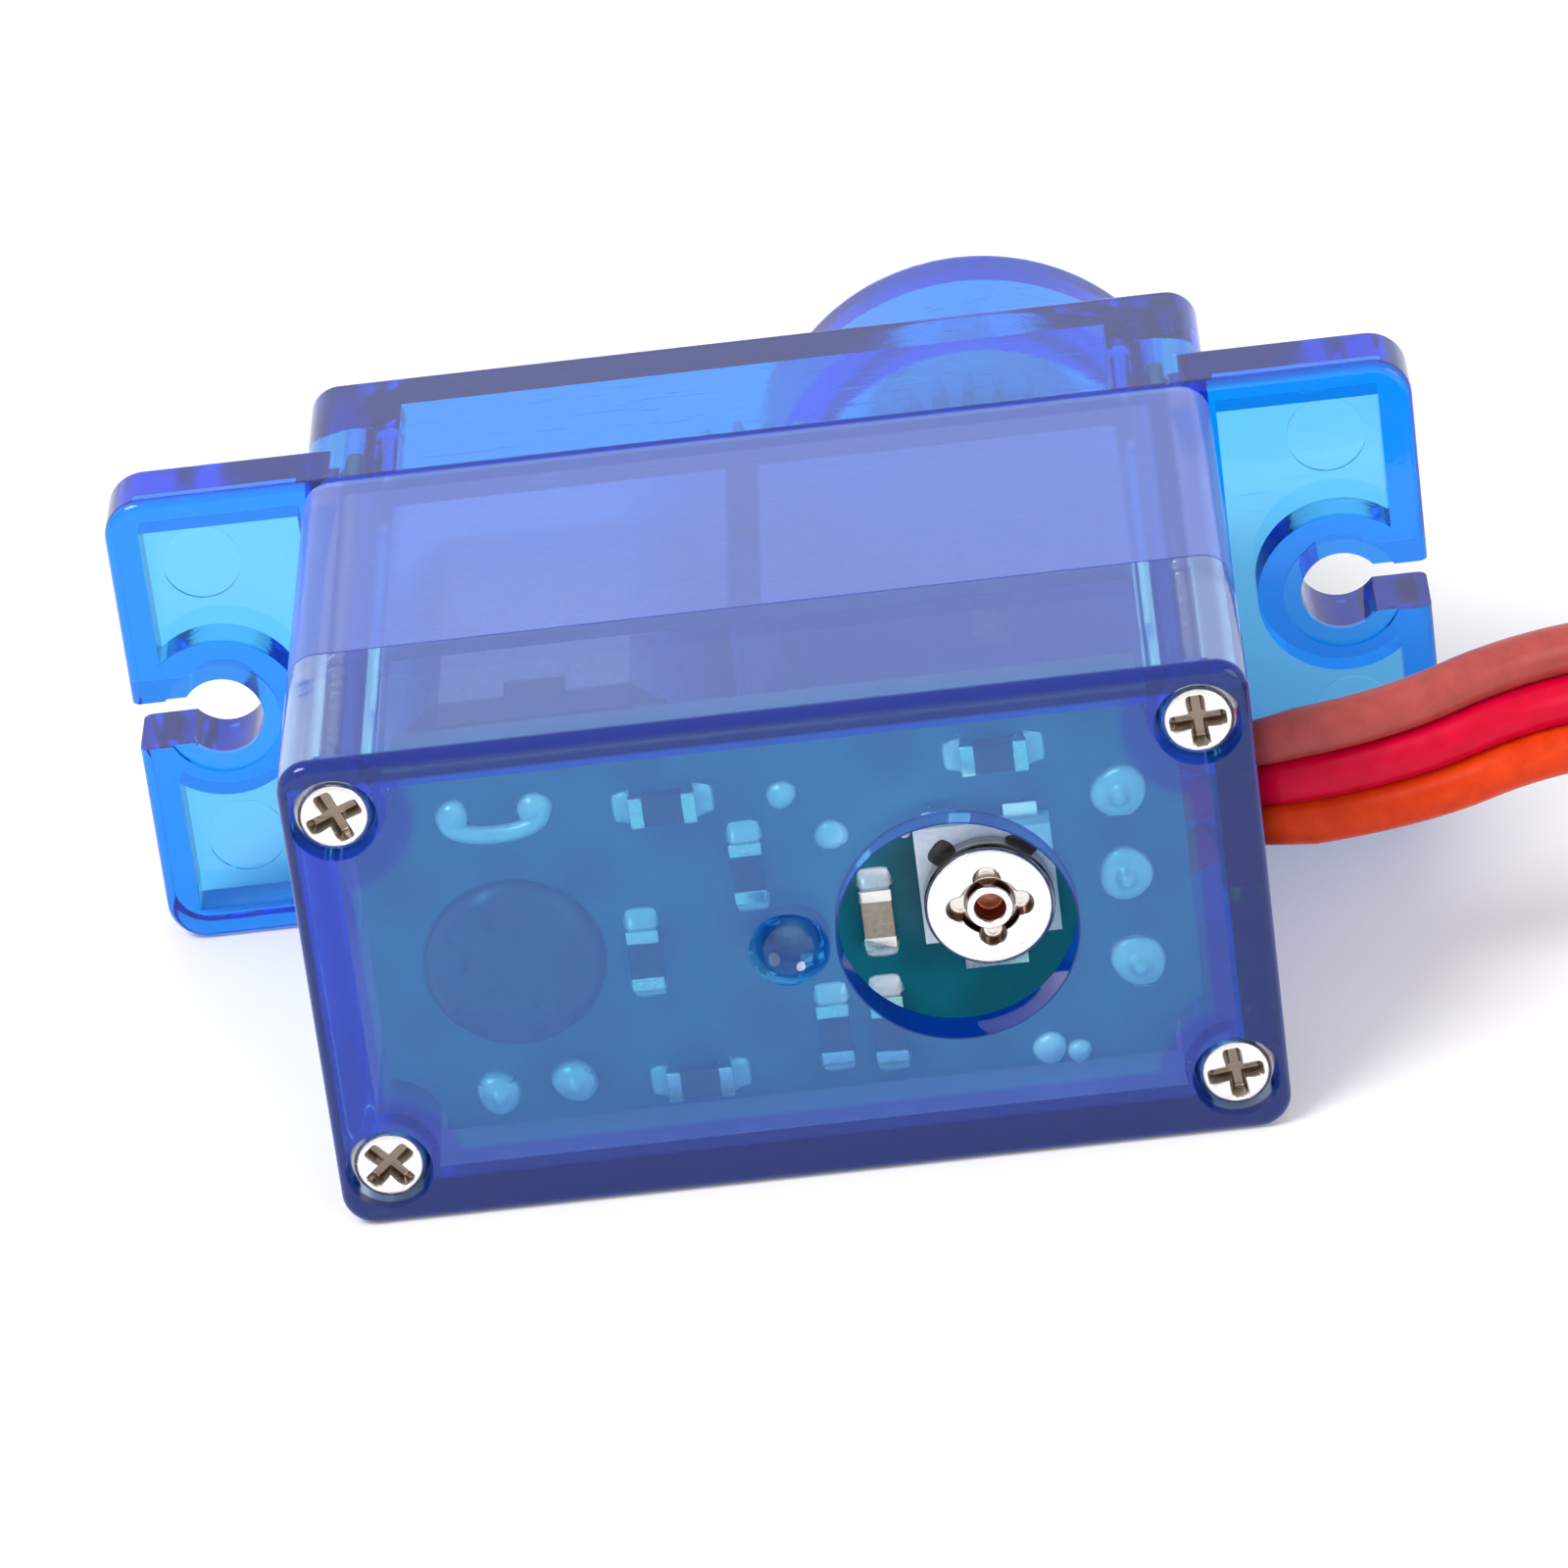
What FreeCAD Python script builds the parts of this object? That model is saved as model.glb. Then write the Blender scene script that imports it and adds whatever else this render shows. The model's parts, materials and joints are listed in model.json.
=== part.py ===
import FreeCAD, Part
import math
import os
import re

import Sketcher
from FreeCAD import Placement, Rotation, Vector

# A micro servo of the continuous-rotation kind: a small geared motor with its control board,
# in a three-part case of clear blue plastic, held by four long screws.
#
# Every piece inside the case is drawn upright: X along the case with the lead's end positive,
# Z along the output shaft, zero on the outside of the bottom cover. One placement then lays
# the servo on its long side, so that the shaft points along +Y and +Z is up.

SIZES = {
    # the case
    "case_length": (22.8, "length over the end walls"),
    "case_width": (12.4, "width over the long sides"),
    "case_height": (22.0, "bottom cover to the flat top"),
    "cover_depth": (6.0, "bottom face to the seam with the middle case"),
    "ear_level": (15.9, "bottom face to the near face of the ears"),
    "wall": (1.1, "side walls of all three case parts"),
    "cover_floor": (1.0, "floor of the bottom cover"),
    "roof": (1.0, "flat top of the top case"),
    "deck": (1.05, "gear deck of the middle case"),
    "seam_gap": (0.05, "gap along each seam"),
    "corner_radius": (0.8, "upright corners of the case"),
    "edge_radius": (0.3, "rounding of the bottom and top edges"),
    "rib_thickness": (0.8, "rib that holds the motor"),
    "rib_clearance": (0.1, "motor to rib"),
    # the ears
    "ear_span": (32.9, "over both ears"),
    "ear_width": (12.4, "across one ear"),
    "ear_thickness": (2.1, "rim of an ear"),
    "ear_web": (1.0, "floor of the pocket in an ear"),
    "ear_rim": (0.85, "width of the rim"),
    "ear_root": (0.15, "case wall to the pocket"),
    "ear_corner_radius": (1.0, "outer corners of an ear"),
    "ear_edge": (0.25, "rounding of an ear's edges"),
    "mount_spacing": (28.5, "between the two mounting holes"),
    "mount_hole": (2.1, "diameter of a mounting hole"),
    "mount_slot": (1.3, "slot from the hole to the end of the ear"),
    "mount_ring": (4.3, "ring round the hole"),
    "seat_ring": (3.0, "shallow step round the hole"),
    "seat_depth": (0.12, "depth of that step"),
    "ejector_mark": (2.0, "round marks in the pockets"),
    "ejector_depth": (0.06, "depth of a mark"),
    "ejector_gap": (0.45, "mark to the ear's rim"),
    # output boss and shaft
    "output_x": (5.4, "output axis from the middle of the case"),
    "boss_diameter": (11.4, "round boss on the flat top"),
    "boss_height": (5.2, "boss over the flat top"),
    "boss_wall": (0.9, "side wall of the boss"),
    "boss_roof": (1.4, "end wall of the boss, which carries the shaft"),
    "boss_edge": (0.6, "rounding of the boss"),
    "hub_diameter": (5.9, "output shaft where it turns in the boss"),
    "spline_length": (2.8, "splined end beyond the boss"),
    "spline_teeth": (21, "teeth on the spline"),
    "spline_diameter": (4.8, "over the spline's teeth"),
    "spline_depth": (0.28, "depth of the spline's teeth"),
    "horn_screw_bore": (1.6, "bore for the horn screw"),
    "horn_screw_depth": (6.0, "depth of that bore"),
    # case screws
    "screw_inset_x": (1.25, "screw to the end wall's outside"),
    "screw_inset_y": (1.5, "screw to the long side's outside"),
    "post_diameter": (2.4, "corner posts round the screws"),
    "screw_head": (1.9, "head diameter"),
    "head_height": (0.7, "head height"),
    "head_recess": (0.8, "depth of the recess for a head"),
    "head_clearance": (0.1, "head to recess, on the radius"),
    "screw_shank": (1.36, "thread diameter"),
    "screw_clearance": (0.05, "thread to bore, on the radius"),
    "screw_length": (18.2, "under the head"),
    "cross_width": (0.34, "width of a cross-recess arm"),
    "cross_length": (1.25, "over two arms of the cross recess"),
    "cross_depth": (0.4, "depth of the cross recess"),
    # openings of the bottom cover
    "window_diameter": (5.7, "opening over the trimmer"),
    "window_x": (4.0, "middle of that opening along the case"),
    "dimple_radius": (1.0, "ball that leaves the dimple"),
    "dimple_depth": (0.7, "depth of the dimple"),
    # control board
    "board_gap_end": (0.3, "board to the wall far from the lead"),
    "board_gap_lead": (0.7, "board to the wall with the lead's outlet"),
    "board_gap_front": (0.6, "board to one long wall"),
    "board_gap_back": (0.2, "board to the other long wall"),
    "board_thickness": (0.8, "glass-fibre board"),
    "board_level": (2.4, "bottom face to the board's parts side"),
    "post_notch": (0.15, "board to the corner posts"),
    "chip_length": (1.6, "chip resistor or capacitor"),
    "chip_width": (0.8, "chip across"),
    "chip_height": (0.45, "chip over the board"),
    "blob_radius": (2.2, "potted control chip"),
    "blob_height": (0.8, "potted control chip over the board"),
    "joint_radius": (0.7, "solder joint of a lead wire"),
    "joint_height": (0.55, "solder joint over the board"),
    "pin_radius": (0.3, "solder through a hole of the board"),
    "wire_pad_inset": (1.45, "board's end to the row of the lead's solder joints"),
    "wire_pad_pitch": (2.3, "between those joints"),
    # trimmer
    "trimmer_x": (4.8, "axis of the trimmer along the case"),
    "trimmer_width": (3.25, "base along the case"),
    "trimmer_length": (3.05, "base across the case"),
    "trimmer_shift": (0.36, "middle of the base to the axis"),
    "trimmer_height": (0.65, "base over the board"),
    "wiper_width": (1.5, "the terminal that stands alone"),
    "wiper_reach": (0.95, "that terminal beyond the base"),
    "foot_reach": (0.45, "the other two beyond the base"),
    "rotor_diameter": (3.1, "turning disc"),
    "rotor_rise": (0.7, "disc's face over the base"),
    "rotor_hub": (1.7, "hub of the disc in the base"),
    "rotor_depth": (0.4, "hub in the base"),
    "rotor_clearance": (0.04, "disc to base"),
    "rotor_slot": (0.55, "arms of the disc's cross slot"),
    "rotor_slot_length": (2.1, "over two arms"),
    "rotor_slot_depth": (0.35, "depth of the cross slot"),
    "rotor_eyelet": (1.3, "eyelet in the middle of the disc"),
    "eyelet_bore": (0.8, "hole in the eyelet"),
    # motor
    "motor_diameter": (9.4, "round sides of the motor"),
    "motor_flats": (8.2, "over the flat sides"),
    "can_wall": (0.4, "steel can"),
    "can_level": (5.4, "bottom face to the can's open end"),
    "cap_level": (4.2, "bottom face to the end cap"),
    "cap_spigot": (0.8, "end cap inside the can"),
    "spigot_gap": (0.03, "end cap to can"),
    "cap_tab_width": (1.4, "end cap's tabs in the can's flat sides"),
    "cap_tab_height": (0.8, "those tabs, along the shaft"),
    "nose_diameter": (3.2, "front boss of the can"),
    "nose_length": (0.85, "front boss in the deck"),
    "nose_clearance": (0.05, "front boss to deck, on the radius"),
    "bush_diameter": (2.2, "bushes of the motor shaft"),
    "bush_length": (1.2, "front bush"),
    "shaft_diameter": (1.0, "motor shaft"),
    "shaft_clearance": (0.02, "motor shaft to bush, on the radius"),
    "magnet_thickness": (0.9, "magnet arcs"),
    "magnet_angle": (110, "one magnet, in degrees"),
    "magnet_length": (5.8, "along the shaft"),
    "air_gap": (0.3, "rotor to magnets"),
    "core_length": (5.0, "rotor laminations"),
    "core_level": (7.8, "bottom face to the laminations"),
    "pole_width": (0.9, "arm of a pole"),
    "shoe_thickness": (0.6, "head of a pole"),
    "shoe_angle": (100, "head of a pole, in degrees"),
    "coil_width": (2.1, "winding across an arm"),
    "coil_overhang": (0.6, "winding beyond the laminations"),
    "commutator_diameter": (2.2, "commutator"),
    "commutator_length": (1.5, "commutator"),
    "brush_gap": (0.03, "brush to commutator"),
    "brush_width": (0.7, "brush, along the commutator's rim"),
    "brush_height": (0.8, "brush, along the shaft"),
    "brush_reach": (1.5, "brush blank, before the well's wall trims it"),
    "well_diameter": (3.4, "room for the brushes in the end cap"),
    "bush_rear_length": (0.75, "rear bush, flush with the well's floor"),
    "terminal_width": (0.9, "motor terminal"),
    "terminal_thickness": (0.3, "motor terminal"),
    "terminal_inset": (0.3, "terminal's middle to the motor's flat side"),
    "terminal_offset": (0.1, "motor's axis to the terminal nearest to it"),
    "terminal_spacing": (1.85, "between the two terminals"),
    # gears: pairs that share a centre distance share a tooth sum times module
    "fine_module": (0.2, "first and second pair"),
    "coarse_module": (0.25, "third and last pair"),
    "motor_pinion_teeth": (10, "on the motor shaft"),
    "first_wheel_teeth": (44, "driven by the motor"),
    "first_pinion_teeth": (11, "on the first wheel"),
    "second_wheel_teeth": (44, "on the output axis"),
    "second_pinion_teeth": (10, "on the second wheel"),
    "third_wheel_teeth": (34, "on the idler axis"),
    "third_pinion_teeth": (10, "on the third wheel"),
    "output_wheel_teeth": (34, "on the output shaft"),
    "pinion_shift": (0.4, "profile shift of a pinion, taken off its wheel"),
    "addendum": (0.85, "tooth over the pitch circle, in modules"),
    "dedendum": (1.15, "tooth under the pitch circle, in modules"),
    "pressure_angle": (20, "in degrees"),
    "backlash": (0.045, "taken off each tooth"),
    "wheel_thickness": (0.8, "gear wheels"),
    "output_wheel_thickness": (1.1, "last wheel"),
    "layer_gap": (0.3, "between gear layers"),
    "deck_collar": (0.1, "first gear over the deck"),
    "pin_diameter": (1.0, "both gear pins"),
    "pin_clearance": (0.03, "gear to pin, on the radius"),
    "pin_seat": (0.6, "idler pin in the roof"),
    "hub_clearance": (0.05, "output shaft to boss, on the radius"),
    # lead
    "wire_diameter": (1.05, "one wire of the lead"),
    "wire_pitch": (1.1, "between wires, side by side"),
    "lead_drop": (0.1, "seam to the lead's middle"),
    "notch_clearance": (0.08, "wire to case"),
    "wire_bend": (1.3, "bend of a wire inside the case"),
    "route_step": (1.0, "unit of the points that the lead follows"),
    "coil_radius": (17.9, "middle of the wound lead"),
    "coil_band": (2.6, "wound lead, across its turns"),
    "coil_lift": (0.25, "thickness of the tie under the lead"),
    "tail_radius": (10.0, "lead from its turns to the plug"),
    "tail_angle": (150, "that stretch, in degrees"),
    "tie_width": (3.0, "band round the turns"),
    # plug
    "plug_length": (14.0, "three-way socket housing"),
    "plug_width": (7.7, "across the three ways"),
    "plug_height": (2.6, "thickness"),
    "plug_pitch": (2.54, "between ways"),
    "socket_side": (1.0, "square mouth of a way"),
    "socket_depth": (8.0, "depth of a way"),
    "contact_wall": (0.15, "metal of a contact"),
    "latch_length": (2.4, "window over a contact's latch"),
    "latch_width": (1.4, "window across"),
    "latch_depth": (0.6, "window into the housing"),
}

PLACES = {
    "half_length": "case_length / 2",
    "half_width": "case_width / 2",
    "boss_top": "case_height + boss_height",
    "overall_height": "case_height + boss_height + spline_length",
    "screw_x": "case_length / 2 - screw_inset_x",
    "screw_y": "case_width / 2 - screw_inset_y",
    "seam_level": "cover_depth - seam_gap",
    "deck_top": "ear_level - seam_gap",
    "deck_bottom": "ear_level - seam_gap - deck",
    "idler_x": "output_x - coarse_module * (third_wheel_teeth + second_pinion_teeth) / 2",
    "motor_x": "output_x - coarse_module * (third_wheel_teeth + second_pinion_teeth) / 2"
               " - fine_module * (motor_pinion_teeth + first_wheel_teeth) / 2",
    "can_top": "ear_level - 2 * seam_gap - deck",
    "first_level": "ear_level - seam_gap + deck_collar + layer_gap",
    "second_level": "ear_level - seam_gap + deck_collar + 2 * layer_gap + wheel_thickness",
    "third_level": "ear_level - seam_gap + deck_collar + 3 * layer_gap + 2 * wheel_thickness",
    "last_level": "ear_level - seam_gap + deck_collar + 4 * layer_gap + 3 * wheel_thickness",
    "board_left": "wall + board_gap_end - case_length / 2",
    "board_right": "case_length / 2 - wall - board_gap_lead",
    "board_front": "wall + board_gap_front - case_width / 2",
    "board_rear": "case_width / 2 - wall - board_gap_back",
    "board_back": "board_level + board_thickness",
    "wire_pad_x": "case_length / 2 - wall - board_gap_lead - wire_pad_inset",
    "near_tab_x": "output_x - coarse_module * (third_wheel_teeth + second_pinion_teeth) / 2"
                  " - fine_module * (motor_pinion_teeth + first_wheel_teeth) / 2"
                  " - terminal_offset - terminal_spacing",
    "far_tab_x": "output_x - coarse_module * (third_wheel_teeth + second_pinion_teeth) / 2"
                 " - fine_module * (motor_pinion_teeth + first_wheel_teeth) / 2 - terminal_offset",
    "tab_y": "motor_flats / 2 - terminal_inset",
    "lead_level": "cover_depth - lead_drop",
    "trimmer_top": "board_level - trimmer_height",
    "rotor_top": "board_level - trimmer_height - rotor_rise",
}

SCREW_CORNERS = [(-1, -1), (1, -1), (1, 1), (-1, 1)]
WIRES = {"ground": -1, "power": 0, "signal": 1}

doc = FreeCAD.newDocument("ContinuousServo")
sheet = doc.addObject("Spreadsheet::Sheet", "sizes")
for row, (alias, (value, note)) in enumerate(SIZES.items(), start=1):
    sheet.set(f"A{row}", alias)
    sheet.set(f"B{row}", str(value))
    sheet.set(f"C{row}", note)
    sheet.setAlias(f"B{row}", alias)
places = doc.addObject("App::VarSet", "places")


def formula(text):
    """Turns the bare names in a formula into references to the sheet and to the places."""
    def qualified(match):
        name = match.group(0)
        if name in SIZES:
            return f"sizes.{name}"
        return f"places.{name}" if name in PLACES else name
    return re.sub(r"[a-z][a-z_]*", qualified, str(text))


for alias, text in PLACES.items():
    places.addProperty("App::PropertyFloat", alias)
    places.setExpression(alias, formula(text))
doc.recompute()


def size(name):
    """The number behind a name of the sheet or of the places."""
    return float(sheet.get(name)) if name in SIZES else getattr(places, name)


def bind(item, **values):
    for prop, text in values.items():
        item.setExpression(prop.replace("__", "."), formula(text))
    return item


def lay(item, label):
    """Labels a finished piece and turns it from upright to lying on its long side."""
    item.Label = label
    item.Placement = Placement(Vector(), Rotation(Vector(1, 0, 0), -90))
    bind(item, Placement__Base__y="-overall_height / 2", Placement__Base__z="half_width")
    return item


# ---------------------------------------------------------------- solids from primitives


def move(item, x, y, z):
    return bind(item, Placement__Base__x=x, Placement__Base__y=y, Placement__Base__z=z)


def block(name, length, width, height, x, y, z):
    """A box centred on x and y, standing on z."""
    item = bind(doc.addObject("Part::Box", name), Length=length, Width=width, Height=height)
    return move(item, f"{x} - ({length}) / 2", f"{y} - ({width}) / 2", z)


def drum(name, diameter, height, x, y, z, angle=360, start=0):
    """An upright cylinder, or a sector of one that begins at the angle start."""
    item = bind(doc.addObject("Part::Cylinder", name), Radius=f"({diameter}) / 2", Height=height)
    bind(item, Angle=angle)
    if start:
        item.Placement = Placement(Vector(), Rotation(Vector(0, 0, 1), start))
    return move(item, x, y, z)


def dome(name, radius, height, x, y, z):
    """Half an ellipsoid that hangs below z, on the parts side of the board."""
    item = doc.addObject("Part::Ellipsoid", name)
    bind(item, Radius1=height, Radius2=radius, Radius3=radius)
    item.Angle1 = -90
    item.Angle2 = 0
    return move(item, x, y, z)


def join(name, *items):
    item = doc.addObject("Part::MultiFuse", name)
    item.Shapes = list(items)
    return item


def cut(name, base, *tools):
    item = doc.addObject("Part::Cut", name)
    item.Base = base
    item.Tool = tools[0] if len(tools) == 1 else join(name + "_tools", *tools)
    return item


def overlap(name, first, second):
    item = doc.addObject("Part::MultiCommon", name)
    item.Shapes = [first, second]
    return item


def group(name, *items):
    """Several separate solids in one piece."""
    item = doc.addObject("Part::Compound", name)
    item.Links = list(items)
    return item


# ---------------------------------------------------------------- bodies from sketches


def new_body(label):
    body = doc.addObject("PartDesign::Body", label)
    return lay(body, label)


def sketch_at(body, name, level):
    sketch = body.newObject("Sketcher::SketchObject", name)
    floor = [item for item in body.Origin.OriginFeatures if item.Role == "XY_Plane"][0]
    sketch.AttachmentSupport = [(floor, "")]
    sketch.MapMode = "FlatFace"
    return bind(sketch, AttachmentOffset__Base__z=level)


def dimension(sketch, kind, place, text):
    """One driving dimension of a sketch, measured from its origin."""
    start = () if kind == "Radius" else (-1, 1)
    index = sketch.addConstraint(Sketcher.Constraint(kind, *start, *place, 1.0))
    sketch.setExpression(f"Constraints[{index}]", formula(text))


def rectangle(sketch, left, right, front, back):
    corners = [Vector(-1, -1), Vector(1, -1), Vector(1, 1), Vector(-1, 1)]
    first = sketch.GeometryCount
    for number in range(4):
        sketch.addGeometry(Part.LineSegment(corners[number], corners[(number + 1) % 4]), False)
    for number in range(4):
        following = first + (number + 1) % 4
        sketch.addConstraint(Sketcher.Constraint("Coincident", first + number, 2, following, 1))
        level = "Horizontal" if number % 2 == 0 else "Vertical"
        sketch.addConstraint(Sketcher.Constraint(level, first + number))
    dimension(sketch, "DistanceX", (first, 1), left)
    dimension(sketch, "DistanceY", (first, 1), front)
    dimension(sketch, "DistanceX", (first + 1, 2), right)
    dimension(sketch, "DistanceY", (first + 1, 2), back)


def circle(sketch, x, y, diameter):
    number = sketch.addGeometry(Part.Circle(Vector(0.5, 0.5), Vector(0, 0, 1), 1.0), False)
    dimension(sketch, "DistanceX", (number, 3), x)
    dimension(sketch, "DistanceY", (number, 3), y)
    dimension(sketch, "Radius", (number,), f"({diameter}) / 2")


def raise_pad(body, sketch, length):
    pad = body.newObject("PartDesign::Pad", sketch.Name + "_pad")
    pad.Profile = sketch
    bind(pad, Length=length)
    doc.recompute()
    return pad


def sink_pocket(body, sketch, depth):
    """Cuts upwards from the sketch, and makes sure that it did."""
    before = body.Shape.Volume
    pocket = body.newObject("PartDesign::Pocket", sketch.Name + "_pocket")
    pocket.Profile = sketch
    pocket.Reversed = True
    bind(pocket, Length=depth)
    doc.recompute()
    if body.Shape.Volume >= before:
        raise RuntimeError(f"{sketch.Name} cuts nothing")
    return pocket


def round_edges(body, name, radius, chosen):
    base = body.Tip
    names = [f"Edge{n}" for n, edge in enumerate(base.Shape.Edges, start=1) if chosen(edge)]
    if not names:
        raise RuntimeError(f"{name} finds no edge")
    fillet = body.newObject("PartDesign::Fillet", name)
    fillet.Base = (base, names)
    bind(fillet, Radius=radius)
    doc.recompute()


def upright_at(x, y):
    """Chooses upright edges that stand at plus or minus x and y."""
    def chosen(edge):
        ends = [vertex.Point for vertex in edge.Vertexes]
        return (len(ends) == 2 and abs(ends[0].z - ends[1].z) > 0.1
                and all(abs(abs(p.x) - x) < 1e-4 and abs(abs(p.y) - y) < 1e-4 for p in ends))
    return chosen


def flat_at(level):
    """Chooses edges that lie in the plane at this level."""
    def chosen(edge):
        box = edge.BoundBox
        return abs(box.ZMin - level) < 1e-4 and abs(box.ZMax - level) < 1e-4
    return chosen


def outer_edges_at(level):
    """Chooses edges in the plane at this level that lie beyond the case's end walls."""
    in_plane = flat_at(level)
    return lambda edge: in_plane(edge) and abs(edge.CenterOfMass.x) > size("half_length") + 1e-3


def screw_circles(sketch, diameter):
    for side_x, side_y in SCREW_CORNERS:
        circle(sketch, f"{side_x} * screw_x", f"{side_y} * screw_y", diameter)


def case_shell(body, bottom, height, name):
    """The outer block of a case part with its rounded upright corners."""
    outline = sketch_at(body, name + "_outline", bottom)
    rectangle(outline, "-half_length", "half_length", "-half_width", "half_width")
    raise_pad(body, outline, height)
    round_edges(body, name + "_corners", "corner_radius",
                upright_at(size("half_length"), size("half_width")))


def case_hollow(body, bottom, depth, name):
    hollow = sketch_at(body, name + "_hollow", bottom)
    rectangle(hollow, "wall - half_length", "half_length - wall",
              "wall - half_width", "half_width - wall")
    sink_pocket(body, hollow, depth)


def corner_posts(body, bottom, height, name):
    posts = sketch_at(body, name + "_posts", bottom)
    screw_circles(posts, "post_diameter")
    raise_pad(body, posts, height)


def screw_bores(body, bottom, depth, name):
    bores = sketch_at(body, name + "_bores", bottom)
    screw_circles(bores, "screw_shank + 2 * screw_clearance")
    sink_pocket(body, bores, depth)


def lead_notch(body, bottom, depth, name):
    """The case part's share of the opening that lets the lead's three wires out."""
    notch = sketch_at(body, name + "_notch", bottom)
    reach = "(wire_pitch + wire_diameter / 2 + notch_clearance)"
    rectangle(notch, "half_length - 1.5 * wall", "half_length + wall", f"-{reach}", reach)
    sink_pocket(body, notch, depth)


# ---------------------------------------------------------------- the case


def make_bottom_cover():
    body = new_body("bottom_cover")
    case_shell(body, "0", "seam_level", "cover")
    round_edges(body, "cover_bottom_edge", "edge_radius", flat_at(0))
    case_hollow(body, "cover_floor", "seam_level", "cover")
    corner_posts(body, "cover_floor / 2", "seam_level - cover_floor / 2", "cover")
    screw_bores(body, "0", "cover_depth", "cover")
    recesses = sketch_at(body, "cover_recesses", "0")
    screw_circles(recesses, "screw_head + 2 * head_clearance")
    sink_pocket(body, recesses, "head_recess")
    window = sketch_at(body, "cover_window", "0")
    circle(window, "window_x", "0", "window_diameter")
    sink_pocket(body, window, "cover_floor")
    dimple = body.newObject("PartDesign::SubtractiveSphere", "cover_dimple")
    bind(dimple, Radius="dimple_radius", AttachmentOffset__Base__z="dimple_depth - dimple_radius")
    dimple.AttachmentSupport = [(body.Origin.OriginFeatures[3], "")]
    dimple.MapMode = "FlatFace"
    doc.recompute()
    lead_notch(body, "lead_level - wire_diameter / 2 - notch_clearance", "cover_depth", "cover")


def make_middle_case():
    body = new_body("middle_case")
    case_shell(body, "cover_depth", "deck_top - cover_depth", "middle")
    case_hollow(body, "cover_depth", "deck_bottom - cover_depth", "middle")
    corner_posts(body, "cover_depth", "deck_top - deck / 2 - cover_depth", "middle")
    screw_bores(body, "cover_depth", "ear_level", "middle")
    rib = sketch_at(body, "motor_rib", "cover_depth")
    near = "motor_x + motor_diameter / 2 + rib_clearance"
    rectangle(rib, near, f"{near} + rib_thickness", "wall / 2 - half_width", "half_width - wall / 2")
    raise_pad(body, rib, "deck_bottom + deck / 2 - cover_depth")
    holes = sketch_at(body, "deck_holes", "deck_bottom")
    circle(holes, "motor_x", "0", "nose_diameter + 2 * nose_clearance")
    circle(holes, "idler_x", "0", "pin_diameter")
    circle(holes, "output_x", "0", "pin_diameter")
    sink_pocket(body, holes, "2 * deck")
    lead_notch(body, "cover_depth",
               "lead_level + wire_diameter / 2 + notch_clearance - cover_depth", "middle")


def ear_pair(sketch, draw):
    """Draws the same thing on both ears, given the sign of the ear."""
    for side in (-1, 1):
        draw(sketch, side)


def span(inner, outer, side):
    """Left and right limits of a rectangle that runs outwards on the side given."""
    near = f"{side} * ({inner})"
    far = f"{side} * ({outer})"
    return (near, far) if side > 0 else (far, near)


def make_top_case():
    body = new_body("top_case")
    case_shell(body, "ear_level", "case_height - ear_level", "top")
    round_edges(body, "top_edge", "edge_radius", flat_at(size("case_height")))
    boss = sketch_at(body, "boss_outline", "case_height - roof")
    circle(boss, "output_x", "0", "boss_diameter")
    raise_pad(body, boss, "boss_height + roof")
    round_edges(body, "boss_rim", "boss_edge", flat_at(size("boss_top")))
    ears = sketch_at(body, "ear_outline", "ear_level")
    rectangle(ears, "-ear_span / 2", "ear_span / 2", "-ear_width / 2", "ear_width / 2")
    raise_pad(body, ears, "ear_thickness")
    round_edges(body, "ear_corners", "ear_corner_radius",
                upright_at(size("ear_span") / 2, size("ear_width") / 2))
    round_edges(body, "ear_near_edges", "ear_edge", flat_at(size("ear_level")))
    far_level = size("ear_level") + size("ear_thickness")
    round_edges(body, "ear_far_edges", "ear_edge", outer_edges_at(far_level))
    case_hollow(body, "ear_level", "case_height - roof - ear_level", "top")
    hollow = sketch_at(body, "boss_hollow", "case_height - roof")
    circle(hollow, "output_x", "0", "boss_diameter - 2 * boss_wall")
    sink_pocket(body, hollow, "boss_height + roof - boss_roof")
    bearing = sketch_at(body, "shaft_bearing", "boss_top - 2 * boss_roof")
    circle(bearing, "output_x", "0", "hub_diameter + 2 * hub_clearance")
    sink_pocket(body, bearing, "3 * boss_roof")
    corner_posts(body, "ear_level", "case_height - roof / 2 - ear_level", "top")
    screw_bores(body, "ear_level", "screw_length + head_recess - ear_level + wall / 2", "top")
    seat = sketch_at(body, "idler_seat", "case_height - 2 * roof")
    circle(seat, "idler_x", "0", "pin_diameter")
    sink_pocket(body, seat, "roof + pin_seat")
    make_ears(body)


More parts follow.
